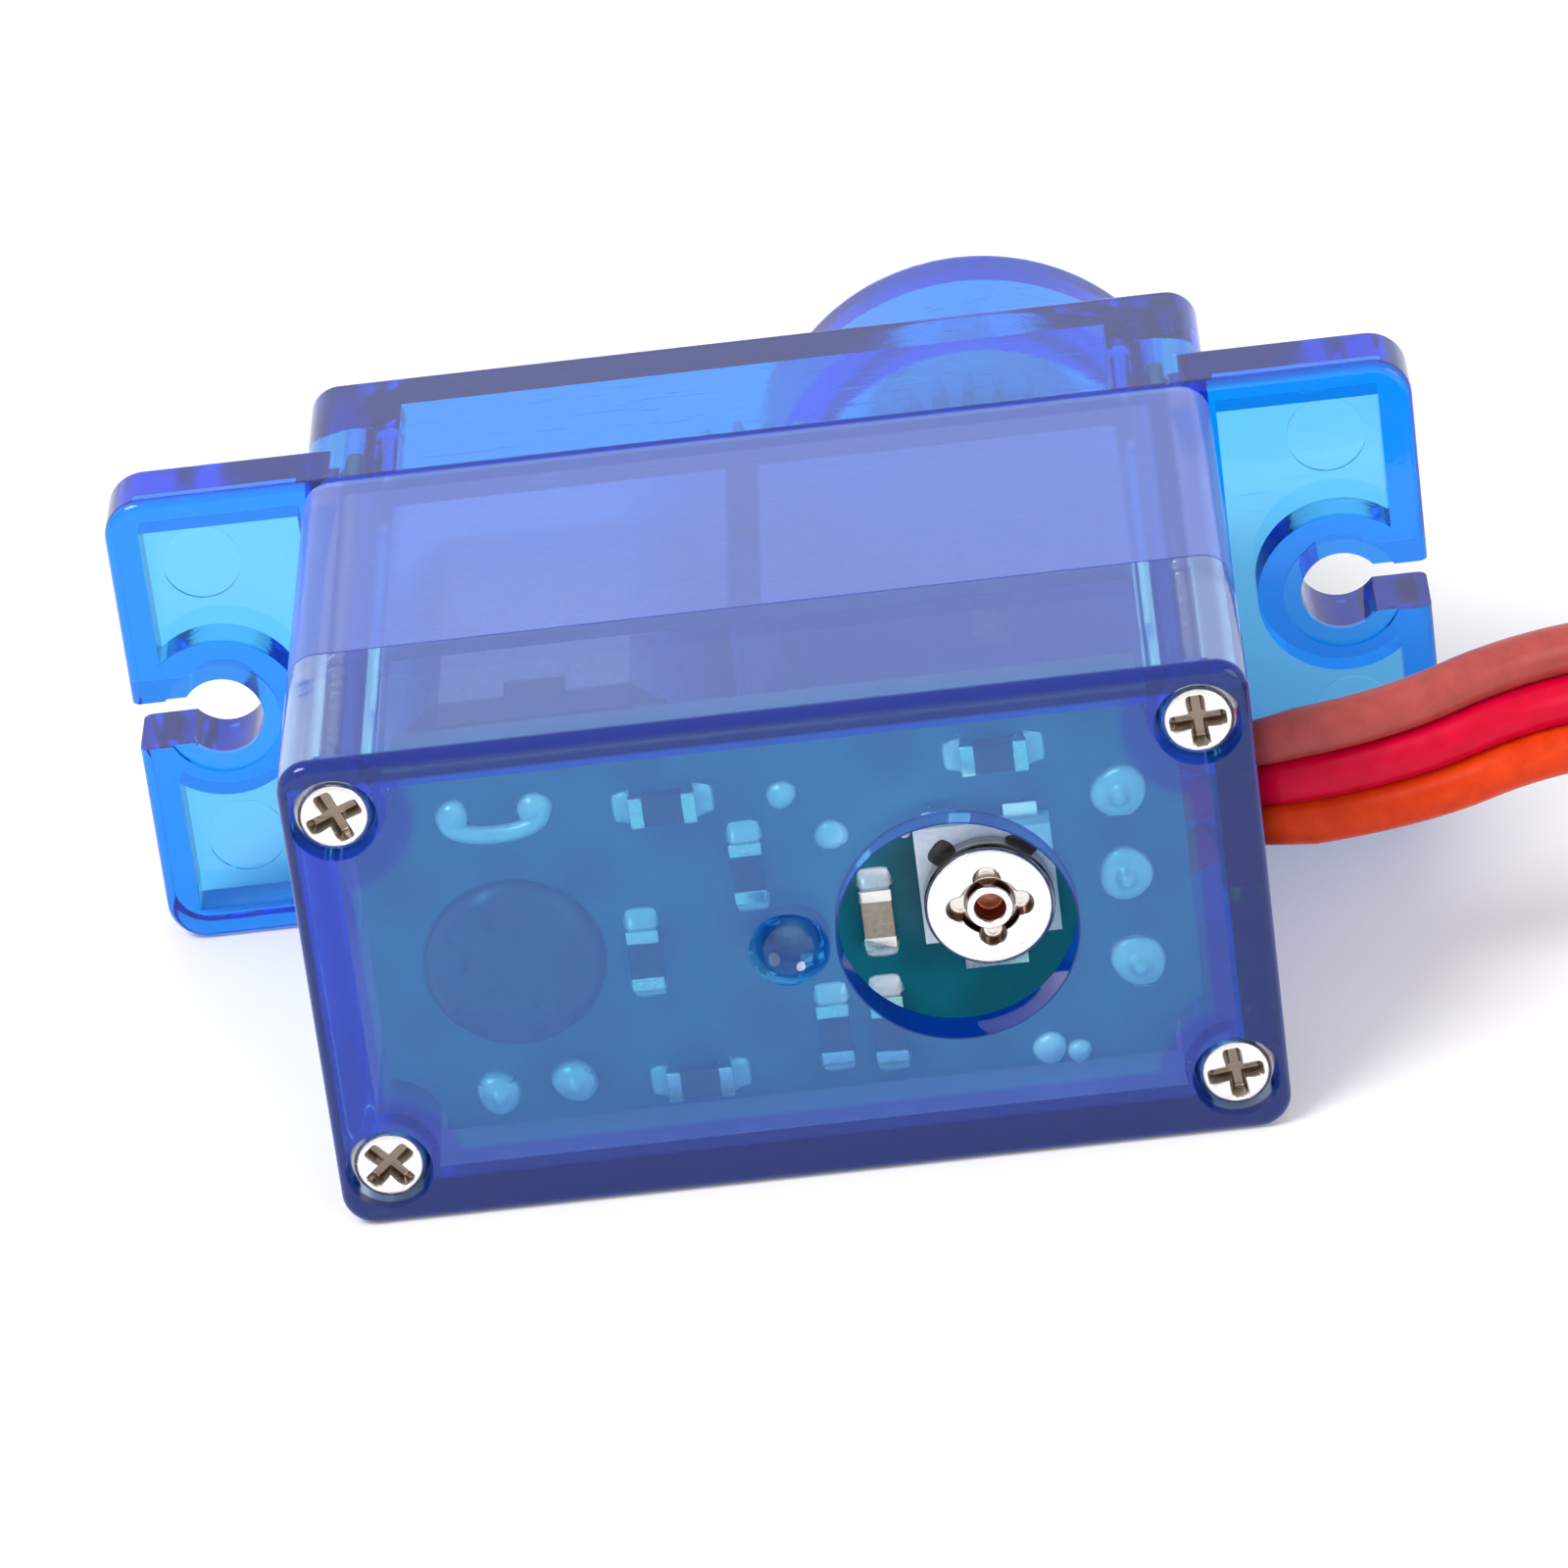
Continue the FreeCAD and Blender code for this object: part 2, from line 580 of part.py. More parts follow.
def make_ears(body):
    """Pockets, rings, holes and slots of both ears, cut from the near face."""
    pocket_depth = "ear_thickness - ear_web"
    pockets = sketch_at(body, "ear_pockets", "ear_level")
    for side in (-1, 1):
        rectangle(pockets, *span("half_length + ear_root", "ear_span / 2 - ear_rim", side),
                  "ear_rim - ear_width / 2", "ear_width / 2 - ear_rim")
    sink_pocket(body, pockets, pocket_depth)
    marks = sketch_at(body, "ejector_marks", "ear_level")
    for side_x, side_y in SCREW_CORNERS:
        circle(marks, f"{side_x} * mount_spacing / 2",
               f"{side_y} * (ear_width / 2 - ear_rim - ejector_gap - ejector_mark / 2)",
               "ejector_mark")
    sink_pocket(body, marks, f"{pocket_depth} + ejector_depth")
    rings = sketch_at(body, "ear_rings", "ear_level")
    ear_pair(rings, lambda s, side: circle(s, f"{side} * mount_spacing / 2", "0", "mount_ring"))
    raise_pad(body, rings, "ear_thickness - ear_web / 2")
    seats = sketch_at(body, "ear_seats", "ear_level")
    ear_pair(seats, lambda s, side: circle(s, f"{side} * mount_spacing / 2", "0", "seat_ring"))
    sink_pocket(body, seats, "seat_depth")
    holes = sketch_at(body, "ear_holes", "ear_level")
    ear_pair(holes, lambda s, side: circle(s, f"{side} * mount_spacing / 2", "0", "mount_hole"))
    sink_pocket(body, holes, "ear_thickness")
    slots = sketch_at(body, "ear_slots", "ear_level")
    for side in (-1, 1):
        rectangle(slots, *span("mount_spacing / 2", "ear_span / 2 + ear_rim", side),
                  "-mount_slot / 2", "mount_slot / 2")
    sink_pocket(body, slots, "ear_thickness")


def make_case_screws():
    """Four long screws from the bottom cover into the top case."""
    screws = []
    for number, (side_x, side_y) in enumerate(SCREW_CORNERS, start=1):
        x = f"{side_x} * screw_x"
        y = f"{side_y} * screw_y"
        under_head = "head_recess"
        head = dome(f"screw_{number}_head", "screw_head / 2", "head_height", x, y, under_head)
        shank = drum(f"screw_{number}_shank", "screw_shank", "screw_length", x, y, under_head)
        arms = [block(f"screw_{number}_arm_{arm}", *arm_size, "2 * cross_depth", x, y,
                      "head_recess - head_height - cross_depth")
                for arm, arm_size in enumerate((("cross_length", "cross_width"),
                                                ("cross_width", "cross_length")))]
        whole = join(f"screw_{number}_whole", head, shank)
        screws.append(cut(f"screw_{number}", whole, *arms))
    lay(group("case_screws", *screws), "case_screws")


# ---------------------------------------------------------------- the control board

# Chips by where they lie, as shares of the board's length and width from its first corner, and
# whether they lie along the case.
RESISTORS = [(0.378, 0.138, True), (0.332, 0.553, False), (0.469, 0.340, False),
             (0.378, 0.926, True), (0.781, 0.096, True), (0.548, 0.824, False),
             (0.615, 0.840, False)]
CAPACITORS = [(0.617, 0.532, False)]
BLOB_SPOT = (0.173, 0.537)
MOTOR_TABS = ("near", "far")
MOTOR_JOINT_SHARE = 0.8


def board_spot(x_share, y_share):
    return (f"board_left + {x_share} * (board_right - board_left)",
            f"board_front + {y_share} * (board_rear - board_front)")


def pad_y(wire):
    return f"{WIRES[wire]} * wire_pad_pitch"


def make_circuit_board():
    body = new_body("circuit_board")
    outline = sketch_at(body, "board_outline", "board_level")
    rectangle(outline, "board_left", "board_right", "board_front", "board_rear")
    raise_pad(body, outline, "board_thickness")
    notches = sketch_at(body, "board_notches", "board_level")
    screw_circles(notches, "post_diameter + 2 * post_notch")
    sink_pocket(body, notches, "board_thickness")
    holes = sketch_at(body, "board_holes", "board_level")
    for wire in WIRES:
        circle(holes, "wire_pad_x", pad_y(wire), "2 * pin_radius")
    sink_pocket(body, holes, "board_thickness")
    slots = sketch_at(body, "board_slots", "board_level")
    for tab in MOTOR_TABS:
        rectangle(slots, f"{tab}_tab_x - terminal_width / 2", f"{tab}_tab_x + terminal_width / 2",
                  "tab_y - terminal_thickness / 2", "tab_y + terminal_thickness / 2")
    sink_pocket(body, slots, "board_thickness")


def chips(name, spots):
    """Chip parts on the board's parts side."""
    solids = []
    for number, (x_share, y_share, along) in enumerate(spots, start=1):
        length, width = ("chip_length", "chip_width") if along else ("chip_width", "chip_length")
        solids.append(block(f"{name}_{number}", length, width, "chip_height",
                            *board_spot(x_share, y_share), "board_level - chip_height"))
    lay(group(name, *solids), name)


def make_board_parts():
    chips("chip_resistors", RESISTORS)
    chips("chip_capacitors", CAPACITORS)
    blob = dome("blob_dome", "blob_radius", "blob_height", *board_spot(*BLOB_SPOT), "board_level")
    lay(group("controller_blob", blob), "controller_blob")
    joints = []
    for wire in WIRES:
        bead = dome(f"bead_{wire}", "joint_radius", "joint_height", "wire_pad_x", pad_y(wire),
                    "board_level")
        pin = drum(f"bead_pin_{wire}", "2 * pin_radius", "board_thickness", "wire_pad_x",
                   pad_y(wire), "board_level")
        joints.append(join(f"joint_{wire}", bead, pin))
    for tab in MOTOR_TABS:
        bead = dome(f"bead_{tab}", f"joint_radius * {MOTOR_JOINT_SHARE}", "joint_height",
                    f"{tab}_tab_x", "tab_y", "board_level")
        hole = block(f"bead_hole_{tab}", "terminal_width", "terminal_thickness", "joint_height / 2",
                     f"{tab}_tab_x", "tab_y", "board_level - joint_height / 2")
        joints.append(cut(f"joint_{tab}", bead, hole))
    lay(group("solder_joints", *joints), "solder_joints")


def make_trimmer():
    """Surface trimmer: a flat base, three terminals and a disc with a cross slot that turns on it."""
    x = "trimmer_x"
    y = "0"
    base = block("trimmer_block", "trimmer_width", "trimmer_length", "trimmer_height", x,
                 "-trimmer_shift", "trimmer_top")
    seat = drum("trimmer_bowl", "rotor_hub + 2 * rotor_clearance",
                "rotor_depth + rotor_clearance", x, y, "trimmer_top")
    lay(cut("trimmer_base", base, seat), "trimmer_base")
    feet = []
    for number, (along, across, width, reach) in enumerate(
            ((-1, -1, "chip_width", "foot_reach"), (1, -1, "chip_width", "foot_reach"),
             (0, 1, "wiper_width", "wiper_reach")), start=1):
        feet.append(block(f"trimmer_foot_{number}", width, reach, "trimmer_height / 2",
                          f"{x} + {along} * chip_width * 1.2",
                          f"{across} * (trimmer_length + {reach}) / 2 - trimmer_shift",
                          "board_level - trimmer_height / 2"))
    lay(group("trimmer_terminals", *feet), "trimmer_terminals")
    plate = drum("rotor_plate", "rotor_diameter", "rotor_rise - rotor_clearance", x, y,
                 "rotor_top")
    hub = drum("rotor_hub", "rotor_hub", "rotor_rise + rotor_depth", x, y, "rotor_top")
    disc = join("rotor_disc", plate, hub)
    slot_depth = "rotor_slot_depth"
    arms = [block("rotor_arm_x", "rotor_slot_length", "rotor_slot", slot_depth, x, y, "rotor_top"),
            block("rotor_arm_y", "rotor_slot", "rotor_slot_length", slot_depth, x, y, "rotor_top")]
    slotted = cut("rotor_slotted", disc, *arms)
    eyelet = drum("rotor_eyelet", "rotor_eyelet", slot_depth, x, y, "rotor_top")
    bore = drum("rotor_bore", "eyelet_bore", slot_depth, x, y, "rotor_top")
    lay(cut("trimmer_disc", join("rotor_body", slotted, eyelet), bore), "trimmer_disc")


# ---------------------------------------------------------------- the motor


def flattened(name, diameter, flats, height, z):
    """A round block with two flat sides that face across the case, on the motor's axis."""
    round_part = drum(name + "_round", diameter, height, "motor_x", "0", z)
    flat_part = block(name + "_flat", diameter, flats, height, "motor_x", "0", z)
    return overlap(name, round_part, flat_part)


def make_motor_can():
    height = "can_top - can_level"
    outside = flattened("can_outside", "motor_diameter", "motor_flats", height, "can_level")
    nose = drum("can_nose", "nose_diameter", "nose_length + can_wall", "motor_x", "0",
                "can_top - can_wall")
    inside = flattened("can_inside", "motor_diameter - 2 * can_wall", "motor_flats - 2 * can_wall",
                       f"{height} - can_wall", "can_level")
    bore = drum("can_bore", "bush_diameter", "nose_length + 2 * can_wall", "motor_x", "0",
                "can_top - 2 * can_wall")
    notches = [block(f"can_notch_{side + 1}", "cap_tab_width + 2 * spigot_gap", "2 * can_wall",
                     "cap_tab_height + spigot_gap", "motor_x", f"{side} * motor_flats / 2",
                     "can_level") for side in (-1, 1)]
    lay(cut("motor_can", join("can_shell", outside, nose), inside, bore, *notches), "motor_can")
    front = sleeve("bush_front", "bush_diameter", "shaft_diameter + 2 * shaft_clearance",
                   "bush_length", "can_top + nose_length - bush_length")
    rear = sleeve("bush_rear", "bush_diameter", "shaft_diameter + 2 * shaft_clearance",
                  "bush_rear_length", "cap_level")
    lay(group("motor_bushes", front, rear), "motor_bushes")


def sleeve(name, diameter, bore, height, z):
    outer = drum(name + "_outer", diameter, height, "motor_x", "0", z)
    inner = drum(name + "_inner", bore, height, "motor_x", "0", z)
    return cut(name, outer, inner)


def make_motor_cap():
    flange = flattened("cap_flange", "motor_diameter", "motor_flats", "can_level - cap_level",
                       "cap_level")
    spigot = flattened("cap_spigot_block", "motor_diameter - 2 * can_wall - 2 * spigot_gap",
                       "motor_flats - 2 * can_wall - 2 * spigot_gap", "2 * cap_spigot",
                       "can_level - cap_spigot")
    well = drum("cap_well", "well_diameter", "can_level - cap_level + cap_spigot", "motor_x", "0",
                "cap_level + bush_rear_length")
    bore = drum("cap_bore", "bush_diameter", "bush_rear_length", "motor_x", "0", "cap_level")
    slots = []
    for tab in MOTOR_TABS:
        slots.append(block(f"cap_slot_{tab}", "terminal_width", "terminal_thickness", "cap_spigot",
                           f"{tab}_tab_x", "tab_y", "cap_level"))
    tabs = [block(f"cap_tab_{side + 1}", "cap_tab_width", "2 * can_wall", "cap_tab_height",
                  "motor_x", f"{side} * (motor_flats / 2 - can_wall)", "can_level")
            for side in (-1, 1)]
    lay(cut("motor_end_cap", join("cap_body", flange, spigot, *tabs), well, bore, *slots),
        "motor_end_cap")
    blades = []
    for tab in MOTOR_TABS:
        blades.append(block(f"blade_{tab}", "terminal_width", "terminal_thickness",
                            "cap_level + cap_spigot - board_level + joint_height / 2",
                            f"{tab}_tab_x", "tab_y", "board_level - joint_height / 2"))
    lay(group("motor_terminals", *blades), "motor_terminals")
    brushes = []
    for side in (-1, 1):
        bar = block(f"brush_bar_{side + 1}", "brush_reach", "brush_width", "brush_height",
                    f"motor_x + {side} * (commutator_diameter / 2 + brush_gap + brush_reach / 2)",
                    "0", "can_level")
        inside_well = drum(f"brush_well_{side + 1}", "well_diameter", "brush_height", "motor_x",
                           "0", "can_level")
        brushes.append(overlap(f"brush_{side + 1}", bar, inside_well))
    lay(group("motor_brushes", *brushes), "motor_brushes")


def make_magnets():
    outer = "motor_diameter - 2 * can_wall"
    level = "core_level + (core_length - magnet_length) / 2"
    arcs = []
    for number, middle in enumerate((0, 180)):
        start = middle - size("magnet_angle") / 2
        whole = drum(f"magnet_{number}_outer", outer, "magnet_length", "motor_x", "0", level,
                     "magnet_angle", start)
        inner = drum(f"magnet_{number}_inner", f"{outer} - 2 * magnet_thickness", "magnet_length",
                     "motor_x", "0", level)
        arc = cut(f"magnet_{number}_arc", whole, inner)
        flat = block(f"magnet_{number}_flat", outer, "motor_flats - 2 * can_wall", "magnet_length",
                     "motor_x", "0", level)
        arcs.append(overlap(f"magnet_{number}", arc, flat))
    lay(group("motor_magnets", *arcs), "motor_magnets")


def make_motor_rotor():
    """Shaft, three-pole core with a winding on each pole, commutator and pinion."""
    x = "motor_x"
    shaft_end = "cap_level + shaft_clearance"
    shaft_top = "second_level"
    lay(group("motor_shaft", drum("shaft_rod", "shaft_diameter", f"{shaft_top} - ({shaft_end})",
                                  x, "0", shaft_end)), "motor_shaft")
    core_diameter = "(motor_diameter - 2 * can_wall - 2 * magnet_thickness - 2 * air_gap)"
    hub = drum("core_hub", "2 * shaft_diameter", "core_length", x, "0", "core_level")
    arms = []
    coils = []
    reach = size("motor_diameter") / 2 - size("can_wall") - size("magnet_thickness")
    reach = reach - size("air_gap") - size("shoe_thickness") / 2
    for number in range(3):
        angle = 120 * number + 90
        arm = bind(doc.addObject("Part::Box", f"pole_{number}_arm"), Length=reach,
                   Width="pole_width", Height="core_length")
        turn_about_motor(arm, angle, "-pole_width / 2", "core_level")
        sector = drum(f"pole_{number}_shoe_outer", core_diameter, "core_length", x, "0",
                      "core_level", "shoe_angle", angle - size("shoe_angle") / 2)
        middle = drum(f"pole_{number}_shoe_inner", f"{core_diameter} - 2 * shoe_thickness",
                      "core_length", x, "0", "core_level")
        arms += [arm, cut(f"pole_{number}_shoe", sector, middle)]
        coils.append(make_winding(number, angle))
    bore = drum("core_bore", "shaft_diameter", "core_length", x, "0", "core_level")
    lay(cut("rotor_core", join("core_body", hub, *arms), bore), "rotor_core")
    lay(group("rotor_windings", *coils), "rotor_windings")
    commutator = sleeve("commutator_sleeve", "commutator_diameter", "shaft_diameter",
                        "commutator_length", "cap_level + bush_rear_length + layer_gap")
    lay(group("commutator", commutator), "commutator")


def turn_about_motor(item, angle, offset, z):
    """Turns a box that starts on the motor's axis, set off sideways by offset."""
    item.Placement = Placement(Vector(), Rotation(Vector(0, 0, 1), angle))
    bind(item, Placement__Base__x=f"motor_x - ({offset}) * sin({angle})",
         Placement__Base__y=f"({offset}) * cos({angle})", Placement__Base__z=z)


def make_winding(number, angle):
    """A winding round one pole's arm, from the hub to the pole's head."""
    inner = size("shaft_diameter") * 1.35
    outer = (size("motor_diameter") / 2 - size("can_wall") - size("magnet_thickness")
             - size("air_gap") - size("shoe_thickness") - 0.1)
    ring = bind(doc.addObject("Part::Box", f"coil_{number}_block"), Length=outer,
                Width="coil_width", Height="core_length + 2 * coil_overhang")
    turn_about_motor(ring, angle, "-coil_width / 2", "core_level - coil_overhang")
    core = bind(doc.addObject("Part::Box", f"coil_{number}_core"), Length=outer,
                Width="pole_width", Height="core_length")
    turn_about_motor(core, angle, "-pole_width / 2", "core_level")
    hub = drum(f"coil_{number}_hub", 2 * inner, "core_length + 2 * coil_overhang", "motor_x", "0",
               "core_level - coil_overhang")
    reach = drum(f"coil_{number}_reach", 2 * outer, "core_length + 2 * coil_overhang", "motor_x",
                 "0", "core_level - coil_overhang")
    return cut(f"coil_{number}", overlap(f"coil_{number}_round", ring, reach), core, hub)


# ---------------------------------------------------------------- the gears


def involute(angle):
    return math.tan(angle) - angle


def gear_face(teeth, module, shift, phase):
    """The outline of a gear: on each tooth two involute flanks, drawn as arcs, and a tip arc."""
    pressure = math.radians(size("pressure_angle"))
    pitch = module * teeth / 2
    base = pitch * math.cos(pressure)
    tip = pitch + module * (size("addendum") + shift)
    root = pitch - module * (size("dedendum") - shift)

    def half_angle(radius):
        spread = math.acos(min(1.0, base / radius))
        at_pitch = math.pi / (2 * teeth) + 2 * shift * math.tan(pressure) / teeth
        return at_pitch + involute(pressure) - involute(spread) - size("backlash") / (2 * pitch)

    def point(radius, angle):
        return Vector(radius * math.cos(angle), radius * math.sin(angle), 0)

    low = max(root, base)
    middle = (low + tip) / 2
    edges = []
    for tooth in range(teeth):
        axis = phase + 2 * math.pi * tooth / teeth
        step = math.pi / teeth
        rise = [point(r, axis - half_angle(r)) for r in (low, middle, tip)]
        fall = [point(r, axis + half_angle(r)) for r in (tip, middle, low)]
        foot = point(root, axis - half_angle(low))
        end = point(root, axis + half_angle(low))
        following = point(root, axis + 2 * step - half_angle(low))
        if low - root > 1e-4:
            edges.append(Part.LineSegment(foot, rise[0]))
        edges += [Part.Arc(*rise), Part.Arc(rise[2], point(tip, axis), fall[0]), Part.Arc(*fall)]
        if low - root > 1e-4:
            edges.append(Part.LineSegment(fall[2], end))
        edges.append(Part.Arc(end, point(root, axis + step), following))
    return Part.Face(Part.Wire([edge.toShape() for edge in edges]))


def toothed(name, teeth, module, sign, x, bottom, height, meshes_left):
    """A toothed disc. A pinion has its profile shifted outwards, a wheel inwards.

    A disc that meshes with its left neighbour has a gap there, and one that meshes to its
    right has a tooth there, so that all pairs are in mesh at rest.
    """
    count = int(size(teeth))
    phase = 0.0
    if meshes_left and count % 2 == 0:
        phase = math.pi / count
    face = gear_face(count, size(module), sign * size("pinion_shift"), phase)
    item = doc.addObject("Part::Feature", name)
    item.Shape = face.extrude(Vector(0, 0, height))
    item.Placement = Placement(Vector(x, 0, bottom), Rotation())
    return item


def make_motor_pinion():
    bottom = size("deck_top") + size("deck_collar")
    height = size("second_level") - bottom
    teeth = toothed("motor_pinion_teeth", "motor_pinion_teeth", "fine_module", 1, size("motor_x"),
                    bottom, height, False)
    bore = drum("motor_pinion_bore", "shaft_diameter", height, "motor_x", "0", bottom)
    lay(cut("motor_pinion", teeth, bore), "motor_pinion")


def compound_gear(label, axis, wheel, pinion, pinion_module, wheel_module, level, following,
                  wheel_left, pinion_left):
    """A wheel with a smaller pinion above it, free on its pin."""
    x = size(axis)
    bottom = size(level)
    top = size(following) + size("wheel_thickness") + size("layer_gap") / 3
    thickness = size("wheel_thickness")
    disc = toothed(label + "_wheel", wheel, wheel_module, -1, x, bottom, thickness, wheel_left)
    shank = toothed(label + "_pinion", pinion, pinion_module, 1, x, bottom + thickness,
                    top - bottom - thickness, pinion_left)
    collar = drum(label + "_collar", "2 * pin_diameter", "2 / 3 * layer_gap", axis, "0",
                  f"{level} - 2 / 3 * layer_gap")
    bore = drum(label + "_bore", "pin_diameter + 2 * pin_clearance", top - bottom + 1, axis, "0",
                bottom - 0.5)
    lay(cut(label, join(label + "_body", disc, shank, collar), bore), label)


def make_gears():
    make_motor_pinion()
    compound_gear("first_gear", "idler_x", "first_wheel_teeth", "first_pinion_teeth",
                  "fine_module", "fine_module", "first_level", "second_level", True, False)
    compound_gear("second_gear", "output_x", "second_wheel_teeth", "second_pinion_teeth",
                  "coarse_module", "fine_module", "second_level", "third_level", True, True)
    compound_gear("third_gear", "idler_x", "third_wheel_teeth", "third_pinion_teeth",
                  "coarse_module", "coarse_module", "third_level", "last_level", False, False)


def spline_face():
    """The outline of the splined end: straight-sided teeth between two circles."""
    teeth = int(size("spline_teeth"))
    tip = size("spline_diameter") / 2
    root = tip - size("spline_depth")
    step = 2 * math.pi / teeth
    points = []
    for tooth in range(teeth):
        for radius, share in ((root, -0.5), (tip, -0.15), (tip, 0.15)):
            angle = step * (tooth + share)
            points.append(Vector(radius * math.cos(angle), radius * math.sin(angle), 0))
    return Part.Face(Part.makePolygon(points + points[:1]))


def make_output_gear():
    """Last wheel, bearing hub and splined end in one moulding."""
    x = size("output_x")
    bottom = size("last_level")
    thickness = size("output_wheel_thickness")
    wheel = toothed("output_wheel", "output_wheel_teeth", "coarse_module", -1, x, bottom,
                    thickness, True)
    hub_bottom = f"last_level + output_wheel_thickness"
    hub = drum("output_hub", "hub_diameter", f"boss_top + layer_gap - ({hub_bottom})", "output_x",
               "0", hub_bottom)
    spline = doc.addObject("Part::Feature", "output_spline")
    spline.Shape = spline_face().extrude(Vector(0, 0, size("spline_length") - size("layer_gap")))
    spline.Placement = Placement(Vector(x, 0, size("boss_top") + size("layer_gap")), Rotation())
    pin_hole = drum("output_pin_hole", "pin_diameter + 2 * pin_clearance",
                    "case_height - last_level", "output_x", "0", "last_level")
    screw_hole = drum("horn_hole", "horn_screw_bore", "horn_screw_depth", "output_x", "0",
                      "overall_height - horn_screw_depth")
    lay(cut("output_gear", join("output_body", wheel, hub, spline), pin_hole, screw_hole),
        "output_gear")


def make_pins():
    top = "case_height - roof + pin_seat"
    idler = drum("idler_rod", "pin_diameter", f"{top} - deck_bottom", "idler_x", "0", "deck_bottom")
    lay(group("idler_pin", idler), "idler_pin")
    output = drum("output_rod", "pin_diameter", "case_height - layer_gap - deck_bottom",
                  "output_x", "0", "deck_bottom")
    lay(group("output_pin", output), "output_pin")


# ---------------------------------------------------------------- the lead

# The lead's middle line from the case to its turns, in the lying servo's own frame: steps along X
# and Y from the lead's outlet, and the height over the turns as a share of the outlet's. Its three
# wires lie one above the other all the way, so the flat lead stands on its edge.
LEAD_ROUTE = [
    (0, 0, 1), (3.2, 0, 1), (7.2, 0.8, 1.116), (12.2, 3.0, 1.046), (17.8, 5.5, 0.722),
    (23.6, 7.7, 0.329), (29.2, 9.3, 0.075), (34.8, 10.3, 0),
]
COIL_STEPS = (39.6, -7.7)
ARC_SHARE = 0.45
LEAD_END_ANGLE = 28
LEAD_TIE_ANGLE = 66


def lead_spot(x_steps, y_steps, rise):
    """A point of the lead's route, in the lying servo's own frame."""
    turns_level = size("coil_lift") + size("wire_pitch") + size("wire_diameter") / 2
    return Vector(size("half_length") + x_steps * size("route_step"),
                  size("lead_level") - size("overall_height") / 2 + y_steps * size("route_step"),
                  turns_level + rise * (size("half_width") - turns_level))


def coil_spot(height):
    """A point at a height on the axis of the turns."""
    spot = lead_spot(*COIL_STEPS, 0)
    return Vector(spot.x, spot.y, height)


def rounded_route(points):
    """Straight runs joined by tangent arcs, each as large as its two runs allow."""
    edges = []
    radii = []
    start = points[0]
    for before, corner, after in zip(points, points[1:], points[2:]):
        back = before - corner
        ahead = after - corner
        half_turn = (math.pi - back.getAngle(ahead)) / 2
        reach = ARC_SHARE * min(back.Length, ahead.Length)
        radius = reach / math.tan(half_turn)
        radii.append(radius)
        entry = corner + back.normalize() * reach
        leave = corner + ahead.normalize() * reach
        middle_line = (entry + leave) * 0.5 - corner
        depth = radius / math.cos(half_turn) - radius
        middle = corner + middle_line.normalize() * depth
        edges += [Part.LineSegment(start, entry), Part.Arc(entry, middle, leave)]
        start = leave
    edges.append(Part.LineSegment(start, points[-1]))
    return Part.Wire([edge.toShape() for edge in edges]), radii


def swept_wire(path, diameter):
    """A round wire along a path."""
    start = path.Edges[0]
    heading = start.tangentAt(start.FirstParameter)
    ring = Part.Circle(start.valueAt(start.FirstParameter), heading, diameter / 2).toShape()
    tube = path.makePipeShell([Part.Wire([ring])], True, False)
    expected = math.pi * diameter ** 2 / 4 * path.Length
    if abs(tube.Volume - expected) > 0.02 * expected:
        raise RuntimeError("the tube does not have the volume of its section times its length")
    return tube


def make_inner_wires():
    """The three wires from the case's wall to their solder joints behind the board."""
    exit_x = size("half_length")
    level = size("lead_level")
    for wire, place in WIRES.items():
        y = place * size("wire_pitch")
        pad = Vector(size("wire_pad_x"), place * size("wire_pad_pitch"), size("board_back"))
        corner = Vector(pad.x, pad.y, level)
        points = [Vector(exit_x, y, level), Vector(exit_x - size("wall"), y, level), corner, pad]
        bend = size("wire_bend")
        path = bent_path(points[1:], bend)
        straight = Part.LineSegment(points[0], points[1]).toShape()
        run = swept_wire(Part.Wire([straight]), size("wire_diameter"))
        rest = swept_wire(path, size("wire_diameter"))
        item = doc.addObject("Part::Feature", "wire_" + wire)
        item.Shape = run.fuse(rest).removeSplitter()
        lay(item, "wire_" + wire)


def bent_path(points, bend):
    """Two straight runs joined by one arc of a given radius."""
    before, corner, after = points
    back = (before - corner).normalize()
    ahead = (after - corner).normalize()
    half_turn = (math.pi - back.getAngle(ahead)) / 2
    reach = bend * math.tan(half_turn)
    entry = corner + back * reach
    leave = corner + ahead * reach
    middle = corner + (back + ahead).normalize() * (bend / math.cos(half_turn) - bend)
    return Part.Wire([Part.LineSegment(before, entry).toShape(),
                      Part.Arc(entry, middle, leave).toShape(),
                      Part.LineSegment(leave, after).toShape()])


def coil_drum(name, radius, height, z):
    item = bind(doc.addObject("Part::Cylinder", name), Radius=radius, Height=height)
    return move(item, f"half_length + {COIL_STEPS[0]} * route_step",
                f"lead_level - overall_height / 2 + {COIL_STEPS[1]} * route_step", z)


